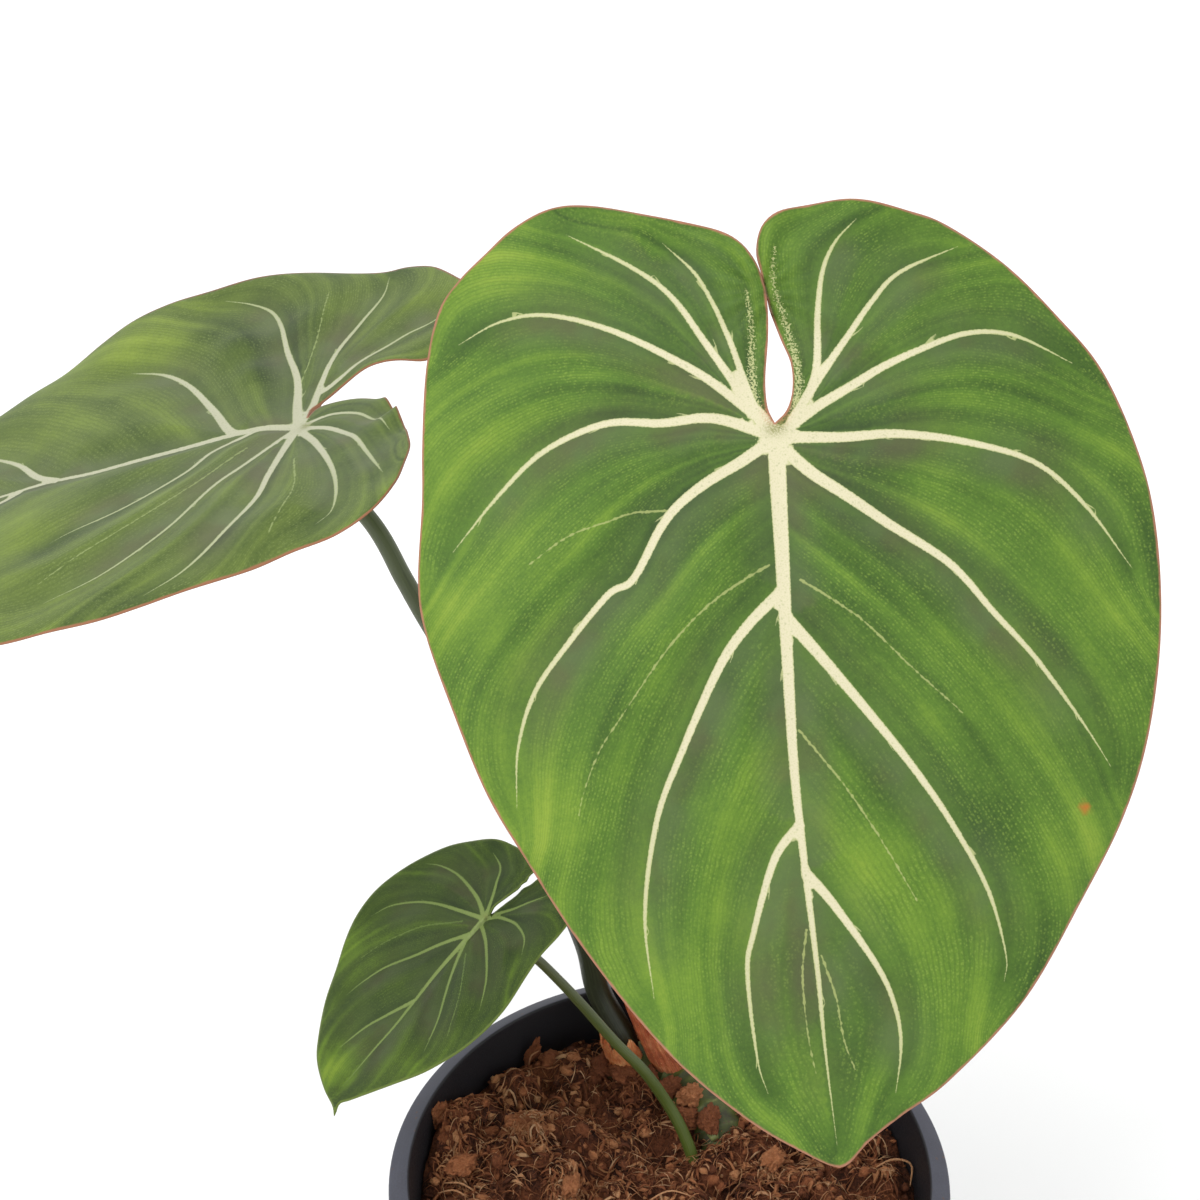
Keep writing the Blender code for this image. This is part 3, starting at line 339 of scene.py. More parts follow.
            (1, 0.5, ((0, 0), (2.6, 1.9), (5.4, 2.6), (8.9, 2.7), (13.2, 1.2), (16, -2))),
            (0.9, 0.5, ((1.4, 2), (4.6, 5.2), (7.5, 8.5), (10, 11.5))),
        ),
        "quilt": (0.9, 3.6),
        "wave": (0.4, 6, 1),
        "sinus_lap": (0.7, 0.8, 9),
        "rib": 0.7,
    },
}

# Extra veins, seen only as thin pale lines between the main ones
THIN_VEINS = {
    "large": (
        ((-2.7, -86.2), (-4.1, -93.9), (-4.1, -103.9), (-3.3, -111.1)),
        ((-3.3, -22.6), (-7.8, -24.8), (-14.8, -28.9), (-22.4, -35.7), (-30.4, -45.3), (-35.8, -52.1),
         (-39.3, -59), (-40.6, -63)),
        ((-20.1, -11.3), (-26.2, -11.2), (-31, -12.4), (-38.4, -14.4), (-45.4, -18.5)),
        ((-0.9, -51.7), (3.2, -57.6), (7, -63.5), (11.8, -72.3), (16.9, -82.9)),
        ((1.9, -25.7), (7.3, -29.9), (12.8, -34.7), (19.3, -42.3), (27.7, -51.4)),
        ((-0.5, -90.9), (1.4, -98.4), (2.1, -105.6), (3.6, -111)),
    ),
    "left": (
        ((-20, -4), (-30, -2.6), (-42, -1.4), (-54, -1)),
        ((8, -9), (22, -17), (36, -27), (50, -42)),
        ((20, 3.5), (36, 6.5), (50, 4)),
    ),
    "small": (
        ((-4, -3), (-10, -8), (-16, -15), (-19, -21)),
        ((3, -8), (9, -14), (15, -24)),
    ),
}
GRAINY_VEINS = {  # innermost veins beside the sinus, broken into grains
    "large": (
        ((-3.2, 4), (-3.2, 14), (-2.9, 19.8), (-3.4, 27)),
        ((3.5, 3.5), (5, 10.6), (4.3, 17.9), (3.2, 25.2), (2.9, 29.9), (3.7, 34.9)),
    ),
    "left": (),
    "small": (),
}
LEAF_LOOKS = {
    # mesh spacing, size of the fine pattern, and sets of side shoots: spacing, shortest, longest, width
    "large": {"spacing": 1.0, "grain": 1.0, "spurs": ((11.0, 1.2, 4.2, 0.50), (2.6, 0.3, 0.9, 0.42))},
    "left": {"spacing": 1.0, "grain": 1.0, "spurs": ((12.0, 1.0, 3.6, 0.45), (3.0, 0.3, 0.8, 0.40))},
    "small": {"spacing": 0.6, "grain": 0.62, "spurs": ((6.0, 0.6, 1.8, 0.30),)},
}
PATCHES_AND_PAINTED_SHADE = {  # patches brighter, or, below zero, darker than the rest; the darker ones over the swellings are painted shade: x, y, spread, amount
    "large": (
        (-28, 30, 16, 0.1), (30, 26, 16, 0.13), (-60, 8, 16, 0.22), (-58, -22, 15, 0.24),
        (-46, -62, 14, 0.26), (-30, -92, 13, 0.28), (-12, -84, 9, 0.14), (-50, 38, 10, 0.18),
        (46, -74, 9, 0.19), (58, -30, 12, 0.05), (12, -78, 12, 0.2), (-8, -60, 10, 0.16),
        (20, -104, 10, 0.16), (-14, -12, 10, -0.16), (14, -8, 9, -0.24), (10, -30, 12, -0.12),
        (40, 24, 16, -0.1), (30, -72, 9, -0.14), (-24, 14, 9, -0.12), (0, -118, 8, 0.1), (36, -40, 8, 0.05),
    ),
    "left": (
        (-40, -19, 7, -0.30), (-28, -13, 6, -0.24), (-45, -7, 8, -0.24), (-49, -28, 7, -0.16),
        (-60, -36, 12, 0.22), (-40, -50, 14, 0.18), (30, -60, 16, 0.10), (55, 0, 12, -0.06),
        (-45, 26, 10, 0.12),
    ),
    "small": (
        (-24, -22, 8, 0.26), (-6, -42, 7, 0.34), (10, -34, 8, 0.14), (-8, 4, 7, -0.14), (8, 4, 8, -0.12),
        (6, -14, 7, -0.16), (-20, 2, 7, 0.12),
    ),
}
BULGES = {  # soft swellings between the veins: x, y, spread, rise
    "large": ((14, -8, 7, 0.8), (-14, -12, 7, 0.6), (30, -48, 9, 0.7), (-26, 12, 7, 0.6)),
    "left": ((-40, -19, 6, 1.6), (-28, -13, 5, 1.2), (-45, -6, 6, 1.2), (30, -44, 10, 1.0), (46, 2, 7, 1.0)),
    "small": ((8, -12, 4, 0.5), (-12, -8, 4, 0.5)),
}

# Petioles: route from the foot to the blade, radius at the foot and at the blade
PETIOLES = {
    "large": {
        "route": (
            (2.4, 40.2, 94), (2.4, 40.5, 102), (2.7, 42.8, 118), (3.5, 44.5, 150), (6.5, 40.5, 190),
            (10.5, 32, 230), (14, 20.5, 265),
        ),
        "radii": (3.2, 2.1),
    },
    "left": {
        "route": (
            (-9.2, 41.0, 94), (-9.4, 41.2, 102), (-15.2, 45.3, 113.5), (-18.1, 47, 127.4),
            (-26.8, 50.1, 151.4), (-35.1, 52.1, 174), (-45.1, 54.4, 198.7), (-51.8, 55.5, 213.4),
            (-55.2, 56.2, 221), (-61.2, 57.4, 234.2),
        ),
        "radii": (3.1, 1.7),
    },
    "small": {
        "route": (
            (8.6, 10.0, 79), (7.6, 11.6, 86), (5.5, 14.0, 93.5), (3.0, 16.4, 100), (-0.3, 18.3, 106.2),
            (-5.2, 19.0, 115), (-11.6, 19.3, 123.8), (-18.0, 18.8, 134.5), (-23.2, 18.0, 143.2),
            (-29.0, 16.3, 152.6),
        ),
        "radii": (1.5, 0.95),
    },
}
PETIOLE_STEP = 1.5
PETIOLE_SIDES = 48
PETIOLE_GROOVES = 11
GROOVE_DEPTH = 0.018
NECK = 4.0

# Sheaths: papery cataphylls standing open round the petioles' feet
SHEATH_THICKNESS = 0.5
SHEATH_ROWS = 60
SHEATH_ARCS = 70
SHEATHS = {
    "large": {
        "route": (
            (2.4, 40.2, 96.0), (-0.3, 41.4, 103), (-3.8, 43.4, 112), (-7.0, 46.5, 122), (-9.0, 49.5, 132),
        ),
        "radii": (5.4, 5.5, 5.2, 4.0, 1.6),
        "spread_deg": (112, 90, 78, 58, 26),
        "facing_deg": 215,
        "torn": 0.6,
    },
    "left": {
        "route": ((-9.2, 41.0, 96.0), (-9.4, 40.9, 99), (-9.8, 40.7, 102), (-10.4, 40.5, 105)),
        "radii": (3.9, 4.2, 4.4, 4.5),
        "spread_deg": (100, 90, 78, 60),
        "facing_deg": 250,
        "torn": 1.6,
    },
}


def rgb(red, green, blue):
    """A shader colour from the usual 0 to 255 values."""
    parts = [c / 255 for c in (red, green, blue)]
    return tuple(c / 12.92 if c <= 0.04045 else ((c + 0.055) / 1.055) ** 2.4 for c in parts) + (1.0,)


def leaf_rgb(red, green, blue):
    """A living surface's colour, darker than it looks because the light is brighter than one."""
    return tuple(c * LEAF_ALBEDO for c in rgb(red, green, blue)[:3]) + (1.0,)


def unit(vector):
    vector = np.asarray(vector, float)
    return vector / np.linalg.norm(vector)


def catmull_rom(points, per_span=24):
    """A smooth open curve through the points, sampled evenly in its parameter."""
    pts = np.asarray(points, float)
    ends = np.vstack([2 * pts[0] - pts[1], pts, 2 * pts[-1] - pts[-2]])
    steps = np.linspace(0, 1, per_span, endpoint=False)[:, None]
    spans = []
    for i in range(1, len(ends) - 2):
        a, b, c, d = ends[i - 1], ends[i], ends[i + 1], ends[i + 2]
        spans.append(0.5 * (2 * b + (c - a) * steps + (2 * a - 5 * b + 4 * c - d) * steps**2
                            + (3 * b - a - 3 * c + d) * steps**3))
    return np.vstack(spans + [pts[-1:]])


def run_along(line):
    """Distance along a line at each of its points."""
    return np.concatenate([[0.0], np.cumsum(np.linalg.norm(np.diff(line, axis=0), axis=1))])


def evenly(points, spacing):
    """The smooth curve through the points with samples about one spacing apart."""
    curve = catmull_rom(points)
    run = run_along(curve)
    count = max(2, int(round(run[-1] / spacing)) + 1)
    stations = np.linspace(0, run[-1], count)
    return np.stack([np.interp(stations, run, curve[:, k]) for k in range(curve.shape[1])], axis=1)


def smooth_step(value, low, high):
    """Smooth change from 0 to 1 as the value goes from low to high."""
    part = np.clip((value - low) / (high - low), 0, 1)
    return part * part * (3 - 2 * part)


def soft_spots(spots, x, y):
    """Sum of soft round hills, each with its place, spread and height."""
    return sum(rise * np.exp(-((x - cx) ** 2 + (y - cy) ** 2) / spread**2) for cx, cy, spread, rise in spots)


def add_piece(name, points_mm, faces, material, slot, replaced=None, values=None, vectors=None):
    """A smooth-shaded mesh that rides with the body, with its attributes and replaced node; the slot is not
    used.
    """
    mesh = bpy.data.meshes.new(name)
    mesh.from_pydata((np.asarray(points_mm, float) * MM).tolist(), [], [tuple(map(int, f)) for f in faces])
    mesh.update()
    mesh.shade_smooth()
    mesh.materials.append(material)
    for key, numbers in (values or {}).items():
        mesh.attributes.new(key, "FLOAT", "POINT").data.foreach_set("value", np.asarray(numbers, np.float32))
    for key, numbers in (vectors or {}).items():
        flat = np.asarray(numbers, np.float32).ravel()
        mesh.attributes.new(key, "FLOAT_VECTOR", "POINT").data.foreach_set("vector", flat)
    piece = bpy.data.objects.new(name, mesh)
    bpy.context.collection.objects.link(piece)
    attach(piece, "root")
    if replaced:
        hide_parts(replaced)
    return piece


class Nodes:
    """Short ways to add and join the shader nodes of one material."""

    def __init__(self, name):
        self.material = bpy.data.materials.new(name)
        self.material.use_nodes = True
        self.tree = self.material.node_tree
        self.shader = self.tree.nodes["Principled BSDF"]

    def feed(self, socket, value):
        if isinstance(value, bpy.types.NodeSocket):
            self.tree.links.new(value, socket)
        else:
            socket.default_value = value

    def set(self, name, value):
        self.feed(self.shader.inputs[name], value)

    def attribute(self, name):
        node = self.tree.nodes.new("ShaderNodeAttribute")
        node.attribute_name = name
        return node

    def value(self, name):
        return self.attribute(name).outputs["Fac"]

    def vector(self, name):
        return self.attribute(name).outputs["Vector"]

    def place(self):
        return self.tree.nodes.new("ShaderNodeTexCoord").outputs["Object"]

    def place_mm(self):
        return self.scaled(self.place(), (1 / MM, 1 / MM, 1 / MM))

    def math(self, operation, a, b=0.0):
        node = self.tree.nodes.new("ShaderNodeMath")
        node.operation = operation
        self.feed(node.inputs[0], a)
        self.feed(node.inputs[1], b)
        return node.outputs[0]

    def add(self, a, b):
        return self.math("ADD", a, b)

    def times(self, a, b):
        return self.math("MULTIPLY", a, b)

    def swing(self, noise, amount):
        """A noise moved to lie evenly about zero, times an amount."""
        return self.times(self.math("SUBTRACT", noise, 0.5), amount)

    def scaled(self, vector, factors):
        node = self.tree.nodes.new("ShaderNodeVectorMath")
        node.operation = "MULTIPLY"
        self.feed(node.inputs[0], vector)
        node.inputs[1].default_value = factors
        return node.outputs[0]

    def noise(self, vector, scale, detail=2.0, roughness=0.5):
        node = self.tree.nodes.new("ShaderNodeTexNoise")
        self.feed(node.inputs["Vector"], vector)
        node.inputs["Scale"].default_value = scale
        node.inputs["Detail"].default_value = detail
        node.inputs["Roughness"].default_value = roughness
        return node.outputs["Fac"]

    def cells(self, vector, scale):
        node = self.tree.nodes.new("ShaderNodeTexVoronoi")
        self.feed(node.inputs["Vector"], vector)
        node.inputs["Scale"].default_value = scale
        return node.outputs["Distance"]

    def step(self, value, low, high, start=0.0, end=1.0):
        """Smooth change from start to end as the value goes from low to high."""
        node = self.tree.nodes.new("ShaderNodeMapRange")
        node.interpolation_type = "SMOOTHSTEP"
        for socket, number in zip(node.inputs, (value, low, high, start, end)):
            self.feed(socket, number)
        return node.outputs[0]

    def mix(self, factor, a, b):
        node = self.tree.nodes.new("ShaderNodeMix")
        node.data_type = "RGBA"
        self.feed(node.inputs[0], factor)
        self.feed(node.inputs[6], a)
        self.feed(node.inputs[7], b)
        return node.outputs[2]

    def ramp(self, value, stops):
        node = self.tree.nodes.new("ShaderNodeValToRGB")
        self.feed(node.inputs[0], value)
        ramp = node.color_ramp
        while len(ramp.elements) < len(stops):
            ramp.elements.new(0.5)
        for element, (position, colour) in zip(ramp.elements, stops):
            element.position = position
            element.color = colour
        return node.outputs[0]

    def bump(self, height, distance_mm, strength=1.0):
        node = self.tree.nodes.new("ShaderNodeBump")
        node.inputs["Strength"].default_value = strength
        node.inputs["Distance"].default_value = distance_mm * MM
        self.feed(node.inputs["Height"], height)
        self.feed(self.shader.inputs["Normal"], node.outputs[0])


# The greyish velvet colour of each blade is painted sheen and shade beside the veins.
BLADE_COLOURS = {
    "large": {
        "greens": ((50, 82, 26), (76, 112, 34), (98, 138, 42), (126, 164, 50), (156, 186, 62)),
        "velvet_sheen_shade": (104, 122, 76), "brown": (104, 100, 72), "cream": (252, 244, 206),
        "thin": (196, 206, 128), "speckle": (156, 188, 76), "margin": (206, 142, 112),
        "under": (132, 160, 104), "under_vein": (196, 206, 150),
    },
    "left": {
        "greens": ((62, 84, 34), (92, 114, 48), (116, 138, 60), (138, 162, 66), (164, 188, 76)),
        "velvet_sheen_shade": (126, 138, 98), "brown": (120, 118, 90), "cream": (226, 226, 194),
        "thin": (178, 194, 126), "speckle": (156, 176, 98), "margin": (182, 124, 88),
        "under": (132, 156, 108), "under_vein": (190, 200, 150),
    },
    "small": {
        "greens": ((44, 62, 26), (64, 86, 32), (84, 108, 36), (114, 146, 42), (146, 176, 52)),
        "velvet_sheen_shade": (96, 110, 68), "brown": (92, 92, 62), "cream": (164, 182, 108),
        "thin": (126, 150, 76), "speckle": (120, 146, 58), "margin": (120, 140, 60),
        "under": (118, 146, 88), "under_vein": (160, 184, 120),
    },
}


def green_field(n, flat, fine, greens):
    """The blade's green: streaks along the rows, cloudy patches, a mealy grain and the listed brighter and
    darker patches, the darker ones over the swellings being painted shade.
    """
    streak = n.noise(n.scaled(n.vector("rows"), (0.15 * fine, 0.02 * fine, 0.0)), 1.0, 1.0, 0.5)
    patch = n.noise(flat, 0.05 * fine, 4.0, 0.6)
    mealy = n.noise(flat, 1.3 * fine, 4.0, 0.75)
    tone = n.add(n.swing(streak, 0.85), 0.32)
    tone = n.add(n.add(tone, n.swing(patch, 0.7)), n.swing(mealy, 0.42))
    # the listed patches: brighter ones, and darker ones that are painted shade over the swellings
    tone = n.add(n.add(tone, n.times(n.value("middle"), 0.14)), n.value("patches_and_shade"))
    return n.ramp(tone, [(0.22 * i + 0.05, leaf_rgb(*green)) for i, green in enumerate(greens)])


def speck_rows(n, flat, vein, grain):
    """The wave across the rows, the pale specks on its crests and the dim lines in its troughs."""
    fine = 1.0 / grain
    sway = n.times(n.noise(flat, 0.25 * fine, 2.0), 1.2)
    line = n.math("SINE", n.times(n.add(n.value("row"), sway), 2 * math.pi))
    line = n.add(n.times(line, 0.5), 0.5)
    clear = n.step(n.noise(flat, 0.09 * fine, 2.0), 0.35, 0.65, 0.45, 1.0)
    clear = n.times(clear, n.step(vein, 0.3, 3.0 * grain))
    speck = n.times(n.step(n.cells(flat, 1.9 * fine), 0.58, 0.14), n.step(line, -0.35, 0.90))
    return line, n.times(speck, clear), n.times(n.step(line, 0.55, 0.0), clear)


def sheen_shade_and_thin_veins(n, flat, fine, base, colours):
    """Greyish painted sheen and shade of the velvet beside the veins, with brown clouds, and thin veins
    broken into beads.
    """
    # painted sheen and shade: the greyish velvet colour laid beside the veins
    velvet_sheen_shade = n.times(n.value("velvet_sheen_shade"), n.step(n.noise(flat, 0.07 * fine, 2.0), 0.3, 0.7, 0.35, 1.0))
    brown = n.step(n.noise(flat, 0.06 * fine, 3.0), 0.46, 0.60, 0.0, 0.8)
    base = n.mix(velvet_sheen_shade, base, n.mix(brown, colours["velvet_sheen_shade"], colours["brown"]))
    thin = n.add(n.value("thin"), n.swing(n.noise(flat, 1.1 * fine, 1.0), 0.7))
    return n.mix(n.times(n.step(thin, 0.16, -0.04), 0.72), base, colours["thin"])


def main_veins(n, flat, vein, fine, base, grains, fibre, colours):
    """Cream veins with feathered edges, side shoots and a grainy hub, laid over the green."""
    hub = n.add(n.value("hub"), n.swing(grains, 2.6))
    feather = n.swing(n.noise(flat, 1.9 * fine, 3.0, 0.7), 0.42)
    edge = n.add(vein, feather)
    shoot = n.add(n.value("spur"), n.times(feather, 0.5))
    pale = n.math("MAXIMUM", n.step(edge, 0.09, -0.09), n.step(hub, 0.42, 0.62))
    pale = n.math("MAXIMUM", pale, n.times(n.step(shoot, 0.10, -0.08), 0.85))
    cream, thin = colours["cream"], colours["thin"]
    tint = n.mix(n.step(n.value("half"), 0.25, 0.7), n.mix(0.5, cream, thin), cream)
    tint = n.mix(n.step(fibre, 0.48, 0.70, 0.0, 0.40), tint, thin)
    tint = n.mix(n.step(edge, -0.30, 0.05, 0.0, 0.75), tint, thin)
    fleck = n.times(n.step(n.cells(flat, 1.0 * fine), 0.30, 0.10), n.step(vein, -0.2, -0.6))
    tint = n.mix(n.times(fleck, 0.25), tint, leaf_rgb(128, 152, 78))
    return n.mix(pale, base, tint)


def blade_material(name):
    """Velvety green with cream veins, rows of pale specks between them and a thin warm margin, with painted
    sheen and shade beside the veins and painted shade over the swellings.
    """
    grain = LEAF_LOOKS[name]["grain"]
    fine = 1.0 / grain
    colours = dict(BLADE_COLOURS[name])
    greens = colours.pop("greens")
    colours = {key: leaf_rgb(*tint) for key, tint in colours.items()}
    n = Nodes(f"blade_{name}_looks")
    flat, vein = n.vector("flat"), n.value("vein")
    grains = n.noise(flat, 2.6 * fine, 2.0, 0.7)
    fibre = n.noise(flat, 3.2 * fine, 2.0, 0.7)
    margin = n.add(n.value("rim"), n.swing(n.noise(flat, 0.35, 2.0), 0.5))

    line, speck, dim = speck_rows(n, flat, vein, grain)
    upper = green_field(n, flat, fine, greens)
    upper = n.mix(n.times(speck, 0.46), upper, colours["speckle"])
    upper = n.mix(n.times(dim, 0.20), upper, leaf_rgb(*greens[0]))
    upper = sheen_shade_and_thin_veins(n, flat, fine, upper, colours)
    upper = main_veins(n, flat, vein, fine, upper, grains, fibre, colours)
    blush = n.times(n.value("blush"), n.step(grains, 0.35, 0.65))
    upper = n.mix(blush, upper, leaf_rgb(224, 150, 112))
    knot = n.times(n.value("knot"), n.step(grains, 0.40, 0.55, 0.35, 1.0))
    upper = n.mix(knot, upper, leaf_rgb(146, 152, 76))
    upper = n.mix(n.step(margin, 0.55, 0.10), upper, colours["margin"])
    upper = n.mix(n.value("spot"), upper, leaf_rgb(214, 120, 44))

    cloud = n.step(n.noise(flat, 0.4, 3.0), 0.35, 0.65, 0.0, 0.35)
    below = n.mix(cloud, colours["under"], leaf_rgb(*greens[2]))
    below = n.mix(n.step(vein, 0.5, -0.2), below, colours["under_vein"])
    below = n.mix(n.times(n.step(line, 0.6, 1.0), 0.12), below, colours["under_vein"])
    below = n.mix(n.step(margin, 0.75, 0.15), below, colours["margin"])

    n.set("Base Color", n.mix(n.value("under"), upper, below))
    n.set("Roughness", n.step(vein, -0.2, 0.4, 0.5, 0.62))
    n.set("Specular IOR Level", 0.24)
    n.set("Sheen Weight", 0.05)
    n.set("Sheen Roughness", 0.5)
    relief = n.add(n.times(speck, 0.35), n.times(fibre, 0.25))
    n.bump(n.add(relief, n.times(n.noise(flat, 2.2, 3.0, 0.6), 0.6)), 0.12, 0.5)
    return n.material


def stem_material(name, low, high, streak_tint, shade):
    """Striated green of a petiole, from the colour at its foot to the colour under its blade."""
    n = Nodes(name)
    spot = n.vector("around")
    streak = n.noise(n.scaled(spot, (1.0, 0.035, 1.0)), 1.6, 3.0, 0.6)
    fine = n.noise(n.scaled(spot, (1.0, 0.12, 1.0)), 4.5, 2.0, 0.6)
    base = n.mix(n.value("along"), leaf_rgb(*low), leaf_rgb(*high))
    base = n.mix(n.step(streak, 0.44, 0.72, 0.0, 0.45), base, leaf_rgb(*streak_tint))
    base = n.mix(n.step(streak, 0.48, 0.28, 0.0, 0.45), base, leaf_rgb(*shade))
    base = n.mix(n.step(fine, 0.56, 0.72, 0.0, 0.45), base, leaf_rgb(*streak_tint))
    n.set("Base Color", base)
    n.set("Roughness", n.step(fine, 0.3, 0.7, 0.38, 0.52))
    n.set("Specular IOR Level", 0.5)
    n.bump(n.add(fine, streak), 0.12, 0.4)
    return n.material


def line_width(start, end, part):
    """Full width of a vein a share of the way along it, running out to a point."""
    return (start + (0.55 * end - start) * part**0.75) * np.minimum(1.0, (1 - part) / 0.2) ** 0.7


def line_fields(points, lines, chunk=1500):
    """For each line: the distance from every point, the share of the way along, and the side of the line."""
    gaps, parts, sides = [], [], []
    for _, _, line in lines:
        a, along = line[:-1], line[1:] - line[:-1]
        length = (along**2).sum(1)
        gap, where, side = np.empty(len(points)), np.empty(len(points)), np.empty(len(points))
        for low in range(0, len(points), chunk):
            some = points[low:low + chunk]
            offset = some[:, None, :] - a[None]
            part = np.clip((offset * along).sum(2) / length, 0, 1)
            far = np.linalg.norm(offset - part[..., None] * along, axis=2)
            nearest = far.argmin(1)
            row = np.arange(len(some))
            gap[low:low + chunk] = far[row, nearest]
            where[low:low + chunk] = (nearest + part[row, nearest]) / len(a)
            cross = along[nearest, 0] * offset[row, nearest, 1] - along[nearest, 1] * offset[row, nearest, 0]
            side[low:low + chunk] = np.sign(cross)
        gaps.append(gap)
        parts.append(where)
        sides.append(side)
    return np.array(gaps), np.array(parts), np.array(sides)


def edge_distance(points, lines):
    """Signed distance in millimetres to the edge of the nearest vein, and that vein's half width."""
    if not lines:
        return np.full(len(points), 50.0), np.zeros(len(points))
    gaps, parts, _ = line_fields(points, lines)
    halves = np.array([line_width(start, end, part) / 2 for (start, end, _), part in zip(lines, parts)])
    signed = gaps - halves
    nearest = signed.argmin(0)
    row = np.arange(len(points))
    return signed[nearest, row], halves[nearest, row]


def inside(points, loop):
    """True for points within a closed outline."""
    a, b = loop, np.roll(loop, -1, axis=0)
    found = np.zeros(len(points), bool)
    for (ax, ay), (bx, by) in zip(a, b):
        crosses = (ay > points[:, 1]) != (by > points[:, 1])
        rise = by - ay if by != ay else 1.0
        found ^= crosses & (points[:, 0] < ax + (points[:, 1] - ay) * (bx - ax) / rise)
    return found


def spurs(lines, looks, rng):
    """Side shoots along the main veins, leaning the way each vein runs: a few long, and many short hairs."""
    made = []
    for start, end, line in lines:
        run = run_along(line)
        for pitch, shortest, longest, width in looks["spurs"]:
            at = rng.uniform(0.5, 1.5) * pitch + 3
            while at < run[-1] * 0.88:
                i = int(np.searchsorted(run, at))
                way = unit(line[min(i + 1, len(line) - 1)] - line[i - 1])
                lean = rng.choice((-1, 1)) * math.radians(rng.uniform(20, 40))
                left = 1 - at / run[-1]
                half = line_width(start, end, at / run[-1]) / 2
                length = half + rng.uniform(shortest, longest) * (0.35 + 0.65 * left)
                shoot = [line[i]]
                for k in range(3):
                    turn = lean * (1 - 0.3 * k)
                    step = (way[0] * math.cos(turn) - way[1] * math.sin(turn),
                            way[0] * math.sin(turn) + way[1] * math.cos(turn))
                    shoot.append(shoot[-1] + np.array(step) * length / 3)
                made.append((width * min(1.0, start / 2), 0.04, np.array(shoot)))
                at += rng.uniform(0.5, 1.7) * pitch
    return made


def blade_drawing(name):
    """Flat points and triangles of a blade, with its outline and vein lines as edges of the mesh."""
    leaf, looks = LEAVES[name], LEAF_LOOKS[name]
    spacing = looks["spacing"]
    rng = np.random.default_rng(len(name))
    right, left = evenly(leaf["right_edge"], spacing), evenly(leaf["left_edge"], spacing)
    outline = np.vstack([right[:-1], left[:-1]])[::-1]
    rim = [(0.0, 0.0, np.vstack([outline, outline[:1]]))]
    main = [(start, end, evenly(points, spacing)) for start, end, points in leaf["veins"]]
    thin = [(0.28, 0.10, evenly(points, spacing)) for points in THIN_VEINS[name]]
    grainy = [(1.3, 0.7, evenly(points, spacing)) for points in GRAINY_VEINS[name]]
    shoots = spurs(main, looks, rng)
    chains, total = [outline], len(outline)
    edges = [(i, (i + 1) % total) for i in range(total)]
    for _, _, line in main + thin + grainy + shoots:
        keep = inside(line, outline) & (line_fields(line, rim)[0][0] > 0.45 * spacing)
        runs = np.flatnonzero(keep)
        chains.append(line[runs])
        edges += [(total + i, total + i + 1) for i in range(len(runs) - 1) if runs[i + 1] == runs[i] + 1]
        total += len(runs)
    fixed = np.vstack(chains)
    tree = kdtree.KDTree(len(fixed))
    for i, (x, y) in enumerate(fixed):
        tree.insert((x, y, 0.0), i)
    tree.balance()
    low, high = outline.min(0), outline.max(0)
    rows = np.arange(low[1], high[1], spacing * math.sqrt(3) / 2)
    columns = np.arange(low[0], high[0], spacing)
    grid = np.array([(x + (i % 2) * spacing / 2, y) for i, y in enumerate(rows) for x in columns])
    grid = grid[inside(grid, outline)]
    apart = np.array([tree.find((x, y, 0.0))[2] > 0.6 * spacing for x, y in grid])
    points = np.vstack([fixed, grid[apart]])
    done = delaunay_2d_cdt(points.tolist(), edges, [list(range(len(outline)))], 1, 1e-4)
    flat = np.array([tuple(v) for v in done[0]])
    return flat, done[2], outline, rim, main, shoots, thin, grainy


def leaf_frame(leaf):
    """Axes of a blade's flat drawing: right, towards the lobes, and out of the upper face."""
    back = -unit(leaf["tip_direction"])
    normal = np.asarray(leaf["normal"], float)
    normal = unit(normal - normal.dot(back) * back)
    return np.cross(back, normal), back, normal


def right_of_sinus(leaf, flat):
    """True on the right lobe's side of the slit between the two lobes."""
    slit_right = catmull_rom([p for p in leaf["right_edge"] if p[1] > 0][:8])
    slit_left = catmull_rom([p for p in leaf["left_edge"] if p[1] > 0][::-1][:8])
    heights = np.linspace(0, slit_right[:, 1].max(), 30)
    middle = [(slit_right[np.abs(slit_right[:, 1] - h).argmin(), 0]
               + slit_left[np.abs(slit_left[:, 1] - h).argmin(), 0]) / 2 for h in heights]
    return flat[:, 0] > np.interp(flat[:, 1], heights, middle)


